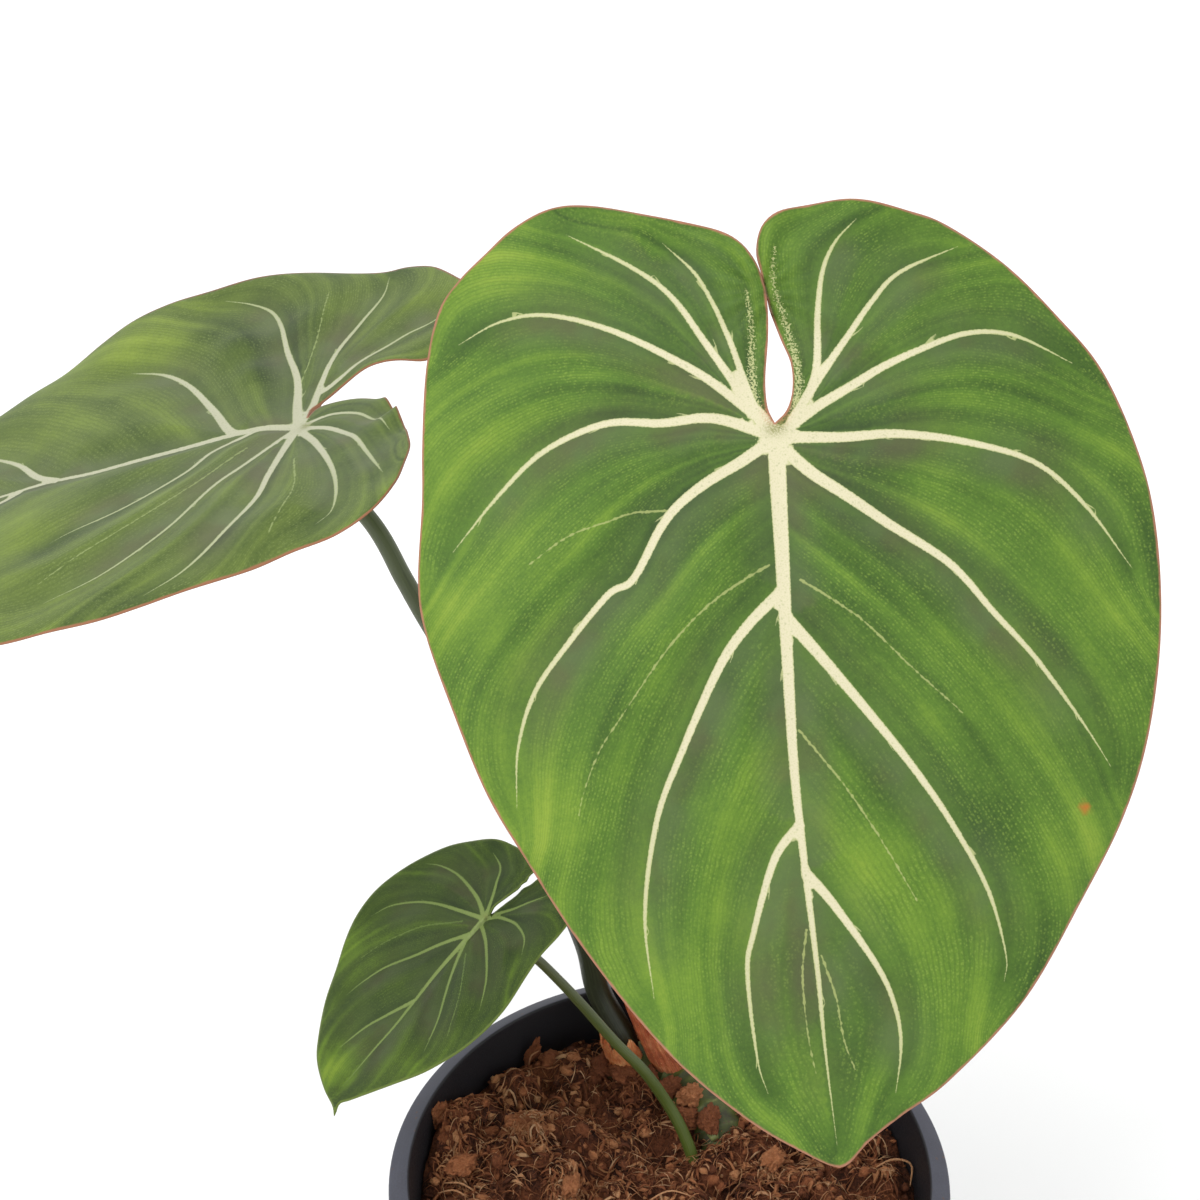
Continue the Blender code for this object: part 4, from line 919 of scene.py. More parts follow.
def raise_blade(name, flat, outline, rim_gap, vein_gap, vein_edge, half):
    """Upper and lower points of a blade: its hang, waved margin, quilting, swellings and ribs below."""
    leaf = LEAVES[name]
    right, back, normal = leaf_frame(leaf)
    x, y = flat[:, 0].copy(), flat[:, 1]
    bend = np.where(y < 0, leaf["droop"], leaf["lobe_droop"])
    slope = np.where(x < 0, leaf["left_side"][0], leaf["right_side"][0])
    curl = np.where(x < 0, leaf["left_side"][1], leaf["right_side"][1])
    height = bend * y**2 + slope * np.abs(x) + curl * x**2
    quilt, reach = leaf["quilt"]
    fade = 1 - np.exp(-rim_gap / RELIEF_FADE)
    height += quilt * (1 - np.exp(-(vein_gap / reach) ** 2)) * fade
    height += soft_spots(BULGES[name], x, y) * fade
    height -= 0.18 * np.exp(-(np.maximum(vein_edge, 0) / 0.6) ** 2) * np.minimum(1, half)
    wave, waves, phase = leaf["wave"]
    around = np.arctan2(x, -(y + np.mean(outline[:, 1])))
    height += wave * np.sin(waves * around + phase) * (1 - fade) * np.minimum(1, np.hypot(x, y) / 25)
    lap, lift, middle = leaf["sinus_lap"]
    if lap:
        near = np.exp(-(x**2 + (y - middle) ** 2) / 12**2)
        side = np.where(right_of_sinus(leaf, flat), 1.0, -1.0)
        x -= side * lap * near
        height -= side * lift * near
    top = np.asarray(leaf["attach"]) + np.outer(x, right) + np.outer(y, back) + np.outer(height, normal)
    rib = 0.9 * leaf["rib"] * np.exp(-(vein_gap / (half + 0.35)) ** 2) * np.minimum(1, 0.35 + half)
    thick = RIM_THICKNESS + (BLADE_THICKNESS - RIM_THICKNESS) * (1 - np.exp(-rim_gap / 1.2))
    return top, top - np.outer(thick + rib, normal)


def extended(line, outline):
    """The vein carried on from its end, in its last direction, until it leaves the blade."""
    way = unit(line[-1] - line[-4])
    reach = line[-1] + np.arange(0.0, 60.0, 0.4)[:, None] * way
    inside_shade = inside(reach, outline)
    stop = len(inside_shade) if inside_shade.all() else int(inside_shade.argmin())
    return np.vstack([line, reach[1:stop + 1]])


def relaxed(start, fixed, pairs):
    """Values that run as evenly as they can over the mesh between the fixed points (conjugate gradients)."""
    i, j = pairs[:, 0], pairs[:, 1]
    count = len(start)
    degree = np.bincount(i, minlength=count) + np.bincount(j, minlength=count)
    free = ~fixed & (degree > 0)

    def spread(values):
        away = np.bincount(i, values[j], count) + np.bincount(j, values[i], count)
        return (degree * values - away) * free

    values = start.copy()
    residual = -spread(values)
    search, size = residual.copy(), residual @ residual
    for _ in range(FLOW_STEPS):
        if size < 1e-4:
            break
        pushed = spread(search)
        share = size / (search @ pushed)
        values += share * search
        residual -= share * pushed
        size, before = residual @ residual, size
        search = residual + size / before * search
    return values


def flow(leaf, flat, triangles, outline, main):
    """A measure across the small rows: its level lines run from the midrib, beside the veins, outwards."""
    midrib = extended(main[0][2], outline)
    split = np.interp(-flat[:, 1], -midrib[:, 1], midrib[:, 0])
    right = np.where(flat[:, 1] > 0, right_of_sinus(leaf, flat), flat[:, 0] > split)
    pairs = np.array([(a, b) for f in triangles for a, b in ((f[0], f[1]), (f[1], f[2]), (f[2], f[0]))])
    pairs = np.unique(np.sort(pairs, axis=1), axis=0)
    close = 0.45 * np.linalg.norm(outline[1] - outline[0])
    on_midrib = line_fields(flat, [(0, 0, midrib)])[0][0] < close
    result = np.zeros(len(flat))
    for is_right in (False, True):
        edge = evenly(leaf["right_edge"], 1.0) if is_right else evenly(leaf["left_edge"], 1.0)[::-1]
        run = run_along(edge)
        top = int(edge[:, 1].argmax())
        lines = []
        for _, _, line in main[1:]:
            if (line[-1][0] > 0) == is_right:
                whole = extended(line, outline)
                lines.append((run[np.linalg.norm(edge - whole[-1], axis=1).argmin()], line[0], whole))
        lines.sort(key=lambda item: item[0])
        low, high = lines[0][0] - SINUS_ROWS, run[-1]
        stations = [(0.0, max(v for v, start, _ in lines if start[1] > -2))]
        stations += sorted((-start[1], v) for v, start, _ in lines if start[1] <= -2 and abs(start[0]) < 6)
        stations.append((-outline[:, 1].min(), high))
        depths, levels = zip(*stations)
        fixed, value = on_midrib.copy(), np.interp(-flat[:, 1], depths, levels)
        for level, _, whole in lines:
            here = line_fields(flat, [(0, 0, whole)])[0][0] < close
            fixed |= here
            value[here] = level
        slit = line_fields(flat, [(0, 0, edge[:top + 1])])[0][0] < close
        fixed |= slit
        value[slit] = low
        mine = (right == is_right) | on_midrib
        value[~mine] = 0.0
        both = mine[pairs[:, 0]] & mine[pairs[:, 1]]
        solved = relaxed(value, fixed | ~mine, pairs[both])
        result = np.where(mine & ~(on_midrib & ~is_right & (result != 0)), solved, result)
    return result


def sheen_shade_band(flat, gaps, parts, sides, main):
    """Share of the velvet's greyish painted sheen and shade: a band on the tipward side of each main vein,
    fading into the field.
    """
    nearest = gaps.argmin(0)
    row = np.arange(len(flat))
    ends = np.array([line[-1] - line[0] for _, _, line in main])
    tipward = np.where(ends[:, 0] < 0, 1.0, -1.0)
    side = sides[nearest, row] * tipward[nearest]
    gap = gaps[nearest, row]
    centre = np.abs(ends[nearest, 0]) < 3
    band = np.where(centre | (side > 0), 0.75, 0.30)
    return band * smooth_step(gap, 9.0, 2.0) * smooth_step(parts[nearest, row], 1.0, 0.75)


def blade_values(name, flat, outline, rim_gap, main_fields, vein, thin_edge, grain_edge):
    """Numbers for the looks at every flat point: patches with painted shade over the swellings, pale hub,
    blush, knot, spot, and the velvet's painted sheen and shade.
    """
    gaps, parts, sides, main = main_fields
    x, y = flat[:, 0], flat[:, 1]
    radius = np.hypot(x, y)
    size = abs(outline[:, 1].min())
    hub = HUB_STRENGTH - radius / (HUB_REACH * size) - HUB_VEIN_FALL * np.maximum(vein, 0)
    sinus = SINUS_STRENGTH - SINUS_VEIN_FALL * np.maximum(grain_edge, 0) - SINUS_FALL * radius
    blush = np.exp(-((x / BLUSH_WIDTH) ** 2 + ((y - BLUSH_Y) / BLUSH_HEIGHT) ** 2))
    knot = np.exp(-((x / (KNOT_WIDTH * size)) ** 2 + ((y - KNOT_Y * size) / (KNOT_HEIGHT * size)) ** 2))
    spot = smooth_step(np.hypot(x - SPOT_PLACE[0], y - SPOT_PLACE[1]), 1.3, 0.2)
    return {
        "middle": 1 - np.exp(-(gaps.min(0) / MIDDLE_REACH) ** 2),
        "vein": vein,
        "rim": rim_gap,
        "thin": thin_edge,
        "hub": np.maximum(hub, sinus),
        # brighter patches, and painted shade over the swellings
        "patches_and_shade": soft_spots(PATCHES_AND_PAINTED_SHADE[name], x, y),
        "blush": blush * smooth_step(rim_gap, 2.2, 0.3) * (name == "large"),
        "spot": spot * (name == "large"),
        "knot": knot,
        # painted sheen and shade beside the main veins
        "velvet_sheen_shade": sheen_shade_band(flat, gaps, parts, sides, main),
    }


def two_sided(flat, triangles):
    """Faces of a blade: its upper side, its lower side and the narrow band between them."""
    count = len(flat)
    faces, borders = [], set()
    for a, b, c in triangles:
        if np.cross(flat[b] - flat[a], flat[c] - flat[a]) < 0:
            b, c = c, b
        faces += [(a, b, c), (c + count, b + count, a + count)]
        borders |= {(a, b), (b, c), (c, a)}
    faces += [(b, a, a + count, b + count) for a, b in borders if (b, a) not in borders]
    return faces


def make_blade(name):
    leaf, looks = LEAVES[name], LEAF_LOOKS[name]
    flat, triangles, outline, rim, main, shoots, thin, grainy = blade_drawing(name)
    gaps, parts, sides = line_fields(flat, main)
    rim_gap = line_fields(flat, rim)[0][0]
    vein, half = edge_distance(flat, main)
    values = blade_values(name, flat, outline, rim_gap, (gaps, parts, sides, main), vein,
                          edge_distance(flat, thin)[0], edge_distance(flat, grainy)[0])
    top, bottom = raise_blade(name, flat, outline, rim_gap, gaps.min(0), vein, half)
    across = flow(leaf, flat, triangles, outline, main)
    across -= ROW_SWEEP * looks["grain"] * np.exp(-rim_gap / (ROW_SWEEP_REACH * looks["grain"]))
    values["half"] = half
    values["spur"] = edge_distance(flat, shoots)[0]
    values["row"] = across / (ROW_PITCH * looks["grain"])
    values = {key: np.tile(numbers, 2) for key, numbers in values.items()}
    values["under"] = np.repeat((0.0, 1.0), len(flat))
    level = np.zeros(len(flat))
    vectors = {
        "flat": np.tile(np.stack([flat[:, 0], flat[:, 1], level], axis=1), (2, 1)),
        "rows": np.tile(np.stack([across, np.hypot(flat[:, 0], flat[:, 1]), level], axis=1), (2, 1)),
    }
    add_piece(f"blade_{name}_leaf", np.vstack([top, bottom]), two_sided(flat, triangles),
              blade_material(name), "blade", f"blade_{name}", values, vectors)


def tube(route, radii, sides, step, grooves=0, depth=0.0):
    """Points, faces, share along and angle round of a stem; the radius rule takes the share along."""
    line = evenly(route, step)
    tangents = np.gradient(line, axis=0)
    side = np.cross(unit(tangents[0]), (0.0, 0.0, 1.0))
    side = unit(side if np.linalg.norm(side) > 0.1 else (1.0, 0.0, 0.0))
    points, faces, along, around = [], [], [], []
    for i, (centre, tangent) in enumerate(zip(line, tangents)):
        tangent = unit(tangent)
        side = unit(side - side.dot(tangent) * tangent)
        across = np.cross(tangent, side)
        part = i / (len(line) - 1)
        radius = radii(part)
        for k in range(sides):
            angle = 2 * math.pi * k / sides
            groove = 1 - depth * (0.5 + 0.5 * math.cos(grooves * angle + 1.5 * math.sin(9 * part)))
            points.append(centre + radius * groove * (math.cos(angle) * side + math.sin(angle) * across))
            along.append(part)
            around.append((4 * math.cos(angle), part * len(line) * step, 4 * math.sin(angle)))
    for i in range(len(line) - 1):
        for k in range(sides):
            a, b = i * sides + k, i * sides + (k + 1) % sides
            faces.append((a, b, b + sides, a + sides))
    last = (len(line) - 1) * sides
    faces.append(tuple(reversed(range(sides))))
    faces.append(tuple(range(last, last + sides)))
    return points, faces, along, around


STEM_COLOURS = {  # at the foot, under the blade, streak, shade
    "large": ((44, 56, 26), (92, 112, 52), (104, 118, 66), (34, 44, 20)),
    "left": ((36, 42, 28), (98, 112, 56), (88, 96, 62), (26, 32, 20)),
    "small": ((98, 122, 32), (80, 84, 44), (124, 128, 78), (48, 54, 26)),
}


def make_petiole(name):
    """A striated stem that narrows a little where it enters its blade."""
    leaf, petiole = LEAVES[name], PETIOLES[name]
    normal = leaf_frame(leaf)[2]
    end = np.asarray(leaf["attach"]) - normal * 0.55
    route = [np.asarray(p, float) for p in petiole["route"]] + [end - normal * (NECK + 1.5), end]
    foot, top = petiole["radii"]

    def radius(part):
        return foot + (top - foot) * part**0.8 - 0.1 * top * math.exp(-((1 - part) / 0.02) ** 2)

    points, faces, along, around = tube(
        route, radius, PETIOLE_SIDES, PETIOLE_STEP, PETIOLE_GROOVES, GROOVE_DEPTH)
    looks = stem_material(f"petiole_{name}_looks", *STEM_COLOURS[name])
    add_piece(f"petiole_{name}_stem", points, faces, looks, "petiole", f"petiole_{name}",
              {"along": along}, {"around": around})


def sheath_material(name, dark, mid, light):
    n = Nodes(f"sheath_{name}_looks")
    grain = n.vector("around")
    fibre = n.noise(n.scaled(grain, (3.2, 0.28, 1.0)), 1.0, 4.0, 0.65)
    patch = n.noise(grain, 0.28, 3.0, 0.6)
    tone = n.add(n.times(fibre, 0.55), n.times(patch, 0.5))
    base = n.ramp(tone, ((0.30, rgb(*dark)), (0.50, rgb(*mid)), (0.68, rgb(*light))))
    speck = n.step(n.cells(grain, 1.2), 0.24, 0.08)
    base = n.mix(n.times(speck, 0.5), base, rgb(230, 184, 120))
    n.set("Base Color", base)
    n.set("Roughness", n.step(fibre, 0.3, 0.7, 0.38, 0.6))
    n.set("Subsurface Weight", 0.3)
    n.set("Subsurface Scale", 0.003)
    n.bump(fibre, 0.35, 0.8)
    return n.material


SHEATH_COLOURS = {
    "large": ((110, 54, 36), (178, 94, 60), (224, 146, 100)),
    "left": ((146, 80, 48), (206, 120, 74), (236, 170, 116)),
}


def sheath_points(spec):
    """Inner and outer points of a crinkled shell, row by row, with the place of each for its looks."""
    step = np.linalg.norm(np.subtract(spec["route"][-1], spec["route"][0])) / (SHEATH_ROWS - 1)
    line = evenly(spec["route"], step)
    stations = np.linspace(0, 1, len(line))
    given = np.linspace(0, 1, len(spec["radii"]))
    radii = np.interp(stations, given, spec["radii"])
    spreads = np.radians(np.interp(stations, given, spec["spread_deg"]))
    facing = math.radians(spec["facing_deg"])
    inner, outer, around = [], [], []
    for i, centre in enumerate(line):
        for k in range(SHEATH_ARCS):
            share = 2 * k / (SHEATH_ARCS - 1) - 1
            ragged = 1 + 0.05 * noise.noise((i * 0.35, 3.0 * np.sign(share), 7.0)) * abs(share)
            angle = facing + spreads[i] * share * ragged
            tear = spec["torn"] * math.sin(2.6 * 8 * (share + 1) / 2 + 1.0) * stations[i] ** 2
            tear += 0.7 * noise.noise((k * 0.5, 2.0, 1.0)) * stations[i] ** 6
            way = np.array((math.cos(angle), math.sin(angle), 0.0))
            crinkle = 0.30 * noise.noise((k * 0.28, i * 0.05, 4.0))
            crinkle += 0.14 * noise.noise((k * 0.9, i * 0.2, 9.0))
            inner.append(centre + way * (radii[i] + crinkle - SHEATH_THICKNESS / 2) + (0, 0, tear))
            outer.append(centre + way * (radii[i] + crinkle + SHEATH_THICKNESS / 2) + (0, 0, tear))
            around.append((radii[i] * angle, centre[2] - line[0][2], 0.0))
    return inner, outer, around


def make_sheath(name):
    """A thin crinkled shell standing round a foot, ragged along its free edges."""
    inner, outer, around = sheath_points(SHEATHS[name])
    half, rows = len(outer), len(outer) // SHEATH_ARCS
    faces = []
    for i in range(rows - 1):
        for k in range(SHEATH_ARCS - 1):
            a = i * SHEATH_ARCS + k
            ring = (a, a + 1, a + SHEATH_ARCS + 1, a + SHEATH_ARCS)
            faces += [ring, tuple(j + half for j in reversed(ring))]
    rim = list(range(SHEATH_ARCS)) + [i * SHEATH_ARCS + SHEATH_ARCS - 1 for i in range(1, rows)]
    rim += [(rows - 1) * SHEATH_ARCS + k for k in range(SHEATH_ARCS - 2, -1, -1)]
    rim += [i * SHEATH_ARCS for i in range(rows - 2, 0, -1)]
    faces += [(b, a, a + half, b + half) for a, b in zip(rim, rim[1:] + rim[:1])]
    add_piece(f"sheath_{name}_shell", outer + inner, faces, sheath_material(name, *SHEATH_COLOURS[name]),
              "sheath", f"sheath_{name}", None, {"around": around * 2})


def rhizome_length():
    return run_along(np.asarray(RHIZOME_ROUTE, float))[-1]


def scar_ring(part):
    """Share of a leaf scar's ring, a share of the way along the rhizome."""
    return math.cos(2 * math.pi * part * rhizome_length() / RHIZOME_SCAR_PITCH) ** 12


def rhizome_radius(part):
    end = min(1.0, (min(part, 1 - part) * rhizome_length() + 0.4) / 5.0)
    return RHIZOME_RADIUS * math.sqrt(end) + RHIZOME_SCAR_RISE * scar_ring(part)


def rhizome_material():
    n = Nodes("rhizome_looks")
    spot = n.vector("around")
    mottle = n.noise(spot, 0.35, 4.0, 0.6)
    tones = ((0.30, leaf_rgb(60, 58, 28)), (0.50, leaf_rgb(88, 98, 36)), (0.70, leaf_rgb(116, 128, 50)))
    base = n.ramp(mottle, tones)
    ring = n.step(n.value("scar"), 0.55, 0.95)
    dots = n.step(n.cells(spot, 1.1), 0.34, 0.14)
    base = n.mix(n.times(ring, n.step(mottle, 0.45, 0.6, 0.0, 0.4)), base, leaf_rgb(190, 190, 110))
    base = n.mix(n.times(dots, ring), base, leaf_rgb(96, 74, 40))
    base = n.mix(n.value("root"), base, n.mix(mottle, leaf_rgb(206, 214, 140), leaf_rgb(150, 160, 84)))
    n.set("Base Color", base)
    n.set("Roughness", 0.55)
    n.bump(mottle, 0.3, 0.5)
    return n.material


def make_rhizome():
    """The creeping stem with ringed scars, and a pale root stub growing from its side."""
    points, faces, along, around = tube(RHIZOME_ROUTE, rhizome_radius, 64, 0.5)
    scar = [scar_ring(part) for part in along]
    root = [0.0] * len(points)
    stub = tube(ROOT_STUB_ROUTE, lambda part: ROOT_STUB_RADIUS * (1.1 - 0.45 * part**2), 24, 0.5)
    base = len(points)
    points += stub[0]
    faces += [tuple(i + base for i in face) for face in stub[1]]
    scar += [0.0] * len(stub[0])
    root += [1.0] * len(stub[0])
    around += stub[3]
    add_piece("rhizome_stem", points, faces, rhizome_material(), "rhizome", "rhizome",
              {"scar": scar, "root": root}, {"around": around})


def wall_radius(height):
    """Outer radius of the pot's tapered wall at a height."""
    return BASE_RADIUS + (WALL_TOP_RADIUS - BASE_RADIUS) * (height - 1) / (WALL_TOP_Z - 1)


def turned(profile, sides=SIDES):
    """A turned solid: the profile runs from the axis below, up the outside, back to the axis."""
    points, faces, rings = [], [], []
    for radius, height in profile:
        if radius == 0:
            rings.append([len(points)])
            points.append((0.0, 0.0, height))
            continue
        rings.append(list(range(len(points), len(points) + sides)))
        for k in range(sides):
            angle = 2 * math.pi * k / sides
            points.append((radius * math.cos(angle), radius * math.sin(angle), height))
    for low, high in zip(rings, rings[1:]):
        for k in range(sides):
            n = (k + 1) % sides
            if len(low) == 1:
                faces.append((low[0], high[n], high[k]))
            elif len(high) == 1:
                faces.append((low[k], low[n], high[0]))
            else:
                faces.append((low[k], low[n], high[n], high[k]))
    return points, faces


def pot_material():
    """Matt slate plastic with a fine grain, faint scuffs and dust on the lip, and painted shade darkening
    its inside and underside.
    """
    n = Nodes("pot_looks")
    spot = n.place_mm()
    grain = n.noise(spot, 2.2, 3.0, 0.7)
    cloud = n.noise(spot, 0.07, 3.0, 0.6)
    scuff = n.noise(n.scaled(spot, (0.06, 0.06, 0.9)), 1.0, 3.0, 0.6)
    base = n.mix(n.step(cloud, 0.35, 0.65), rgb(66, 66, 76), rgb(71, 72, 83))
    base = n.mix(n.step(grain, 0.35, 0.75, 0.0, 0.35), base, rgb(92, 93, 106))
    base = n.mix(n.step(scuff, 0.62, 0.74, 0.0, 0.15), base, rgb(110, 112, 124))
    dust = n.step(n.cells(spot, 0.32), 0.16, 0.06)
    base = n.mix(n.times(dust, 0.55), base, rgb(96, 72, 58))
    # Painted shade: everything more than 0.7 mm inside the line of the outer wall, the inside and the
    # underside, is darkened to near black.
    across = n.tree.nodes.new("ShaderNodeVectorMath")
    across.operation = "LENGTH"
    n.feed(across.inputs[0], n.scaled(spot, (1.0, 1.0, 0.0)))
    split = n.tree.nodes.new("ShaderNodeSeparateXYZ")
    n.feed(split.inputs[0], spot)
    taper = (WALL_TOP_RADIUS - BASE_RADIUS) / (WALL_TOP_Z - 1)
    outside = n.add(n.times(split.outputs[2], taper), BASE_RADIUS - taper)
    inside_shade = n.step(n.math("SUBTRACT", across.outputs["Value"], outside), -0.7, -1.0)
    base = n.mix(inside_shade, base, rgb(30, 29, 33))
    n.set("Base Color", base)
    n.set("Roughness", n.step(grain, 0.3, 0.7, 0.42, 0.58))
    n.set("Specular IOR Level", 0.35)
    n.bump(grain, 0.08, 0.5)
    return n.material


def lip_curve(radius, height, size, start_deg, end_deg, steps=5):
    """Points of a small round between two flanks of the rim."""
    angles = np.radians(np.linspace(start_deg, end_deg, steps))
    return [(radius + size * math.cos(a), height + size * math.sin(a)) for a in angles]


def pot_profile():
    """Radius and height round the pot's section: base, wall, folded rim and inside."""
    skirt_foot = POT_HEIGHT - LIP_FALL - SKIRT_HEIGHT
    inner_top = POT_HEIGHT - 0.6
    inner_floor = CHANNEL_RISE + FLOOR
    profile = [
        (0, 0), (CENTRE_DISC_RADIUS, 0), (CHANNEL_INNER, CHANNEL_RISE), (CHANNEL_OUTER, CHANNEL_RISE),
        (FOOT_INNER, 0), (BASE_RADIUS - 0.9, 0), (BASE_RADIUS - 0.25, 0.3), (BASE_RADIUS, 1.0),
        (wall_radius(50), 50), (WALL_TOP_RADIUS, WALL_TOP_Z), (RIM_RADIUS - SKIRT_WALL, WALL_TOP_Z - 0.8),
        (RIM_RADIUS - SKIRT_WALL + 0.2, skirt_foot + 0.2), (RIM_RADIUS - SKIRT_WALL + 0.5, skirt_foot),
        (RIM_RADIUS - 0.1, skirt_foot), (RIM_RADIUS + 0.2, skirt_foot + 0.3),
    ]
    profile += lip_curve(RIM_RADIUS - 0.7, POT_HEIGHT - LIP_FALL - 0.75, 0.75, 0, 80)
    profile += lip_curve(RIM_RADIUS - LIP_WIDTH + 0.5, POT_HEIGHT - 0.55, 0.55, 75, 175)
    profile += [
        (wall_radius(inner_top - 1) - WALL, inner_top - 1), (wall_radius(50) - WALL, 50),
        (wall_radius(4.2) - WALL, 4.8), (CHANNEL_OUTER + 0.5, inner_floor),
        (CHANNEL_INNER - 0.2, inner_floor), (CENTRE_DISC_RADIUS + 0.3, FLOOR), (0, FLOOR),
    ]
    return profile


def drain_cutter(angle):
    """A plain peg through the raised ring of the base."""
    reach = (CHANNEL_INNER + CHANNEL_OUTER) / 2
    place = Matrix.Translation((reach * math.cos(angle) * MM, reach * math.sin(angle) * MM, 4 * MM))
    made = bmesh.new()
    bmesh.ops.create_cone(made, cap_ends=True, segments=40, radius1=DRAIN_RADIUS * MM,
                          radius2=DRAIN_RADIUS * MM, depth=8 * MM, matrix=place)
    mesh = bpy.data.meshes.new("drain")
    made.to_mesh(mesh)
    made.free()
    cutter = bpy.data.objects.new("drain", mesh)
    bpy.context.collection.objects.link(cutter)
    return cutter


def make_pot():
    pot = add_piece("pot_shell", *turned(pot_profile()), pot_material(), "pot", "pot")
    cutters = [drain_cutter(2 * math.pi * (k + 0.5) / DRAIN_COUNT) for k in range(DRAIN_COUNT)]
    for cutter in cutters:
        drill = pot.modifiers.new("drain", "BOOLEAN")
        drill.operation, drill.solver, drill.object = "DIFFERENCE", "EXACT", cutter
    drilled = pot.evaluated_get(bpy.context.evaluated_depsgraph_get())
    settled = bpy.data.meshes.new_from_object(drilled)
    pot.modifiers.clear()
    pot.data = settled
    pot.data.set_sharp_from_angle(angle=math.radians(45))
    for cutter in cutters:
        bpy.data.objects.remove(cutter, do_unlink=True)


SOIL_TONES = (
    (0.00, rgb(36, 20, 13)), (0.16, rgb(80, 43, 27)), (0.36, rgb(134, 78, 50)), (0.58, rgb(176, 108, 70)),
    (0.80, rgb(208, 144, 98)), (1.00, rgb(236, 190, 146)),
)


def soil_material(name, spread):
    """Coir and bark: each crumb has its own tone, with fibres and dark pits in it."""
    n = Nodes(name)
    spot = n.place_mm()
    fleck = n.noise(spot, 1.6, 5.0, 0.75)
    strand = n.noise(n.scaled(n.vector("grain"), (1.0, 0.12, 1.0)), 3.4, 4.0, 0.7)
    tone = n.add(n.add(n.value("tone"), n.swing(fleck, spread)), n.swing(strand, spread * 0.7))
    n.set("Base Color", n.ramp(tone, SOIL_TONES))
    n.set("Roughness", 0.9)
    n.set("Specular IOR Level", 0.25)
    n.bump(n.add(fleck, strand), 0.8, 1.0)
    return n.material


def soil_rule():
    """The packed soil's height as a function of place, from the same seeded waves, with its heaps."""
    rng = np.random.default_rng(SOIL_SEED)
    waves = [(rng.uniform(0, math.pi), rng.uniform(0, 2 * math.pi), rng.uniform(9, 30))
             for _ in range(SOIL_WAVES)]

    def height(x, y):
        level = SOIL_LEVEL
        for along, phase, length in waves:
            turn = 2 * math.pi * (x * math.cos(along) + y * math.sin(along)) / length + phase
            level += SOIL_WAVE_HEIGHT * math.sin(turn)
        for cx, cy, rise, spread in SOIL_LUMPS + SOIL_HEAPS:
            level += rise * math.exp(-((x - cx) ** 2 + (y - cy) ** 2) / spread**2)
        return level

    return height


def crumble(x, y):
    """Rough small-scale height of the crumbly surface."""
    coarse = noise.turbulence((x * 0.16, y * 0.16, 1.7), 4, False)
    lumps = noise.voronoi((x * 0.45, y * 0.45, 0.4))[0][0]
    fine = noise.turbulence((x * 1.1, y * 1.1, 5.1), 4, True)
    return 1.6 * (coarse - 0.5) - 1.4 * lumps + 1.3 * fine


def make_soil(height):
    top_radius = wall_radius(SOIL_SIDE_TOP + 3) - WALL - 0.1
    ring_top = CHANNEL_RISE + FLOOR + GAP
    profile = [
        (0, FLOOR + GAP), (CENTRE_DISC_RADIUS - 0.2, FLOOR + GAP), (CHANNEL_INNER - 0.6, ring_top),
        (CHANNEL_OUTER + 2, ring_top + 0.1), (wall_radius(6) - WALL - GAP - 0.1, 6.2),
        (wall_radius(50) - WALL - GAP, 50), (wall_radius(SOIL_SIDE_TOP) - WALL - 0.1, SOIL_SIDE_TOP),
    ]
    points, faces = turned(profile, SOIL_SEGMENTS)
    previous = list(range(len(points) - SOIL_SEGMENTS, len(points)))
    for ring in range(SOIL_RINGS):
        radius = top_radius * (1 - ring / SOIL_RINGS)
        current = []
        for k in range(SOIL_SEGMENTS):
            angle = 2 * math.pi * (k + 0.5 * (ring % 2)) / SOIL_SEGMENTS
            x, y = radius * math.cos(angle), radius * math.sin(angle)
            current.append(len(points))
            points.append((x, y, height(x, y) + crumble(x, y)))
        for k in range(SOIL_SEGMENTS):
            n = (k + 1) % SOIL_SEGMENTS
            faces.append((previous[k], previous[n], current[n], current[k]))
        previous = current
    middle = len(points)
    points.append((0.0, 0.0, height(0.0, 0.0)))
    faces += [(previous[k], previous[(k + 1) % SOIL_SEGMENTS], middle) for k in range(SOIL_SEGMENTS)]
    tones = [0.24 + 0.25 * noise.noise((x * 0.22, y * 0.22, z * 0.2)) for x, y, z in points]
    add_piece("soil_bed", points, faces, soil_material("soil_bed_looks", 0.7), "soil", "soil",
              {"tone": tones}, {"grain": points})


def crumb_shapes(count, rounds, rng):
    """A few different rough lumps of unit size."""
    shapes = []
    for _ in range(count):
        made = bmesh.new()
        bmesh.ops.create_icosphere(made, subdivisions=rounds, radius=1.0)
        points = np.array([tuple(v.co) for v in made.verts])
        faces = np.array([[v.index for v in f.verts] for f in made.faces])
        made.free()
        shift = rng.uniform(-50, 50, 3)
        swell = [0.75 + 0.5 * noise.noise(p * 1.3 + shift) + 0.5 * noise.turbulence(p * 3.0 - shift, 5, True)
                 for p in points]
        shapes.append((points * np.array(swell)[:, None], faces))
    return shapes


def free_spot(rng, margin):
    """A place on the soil, clear of the pot's wall."""
    reach = (wall_radius(SOIL_LEVEL) - WALL - margin) * math.sqrt(rng.uniform(0, 1))
    angle = rng.uniform(0, 2 * math.pi)
    return reach * math.cos(angle), reach * math.sin(angle)


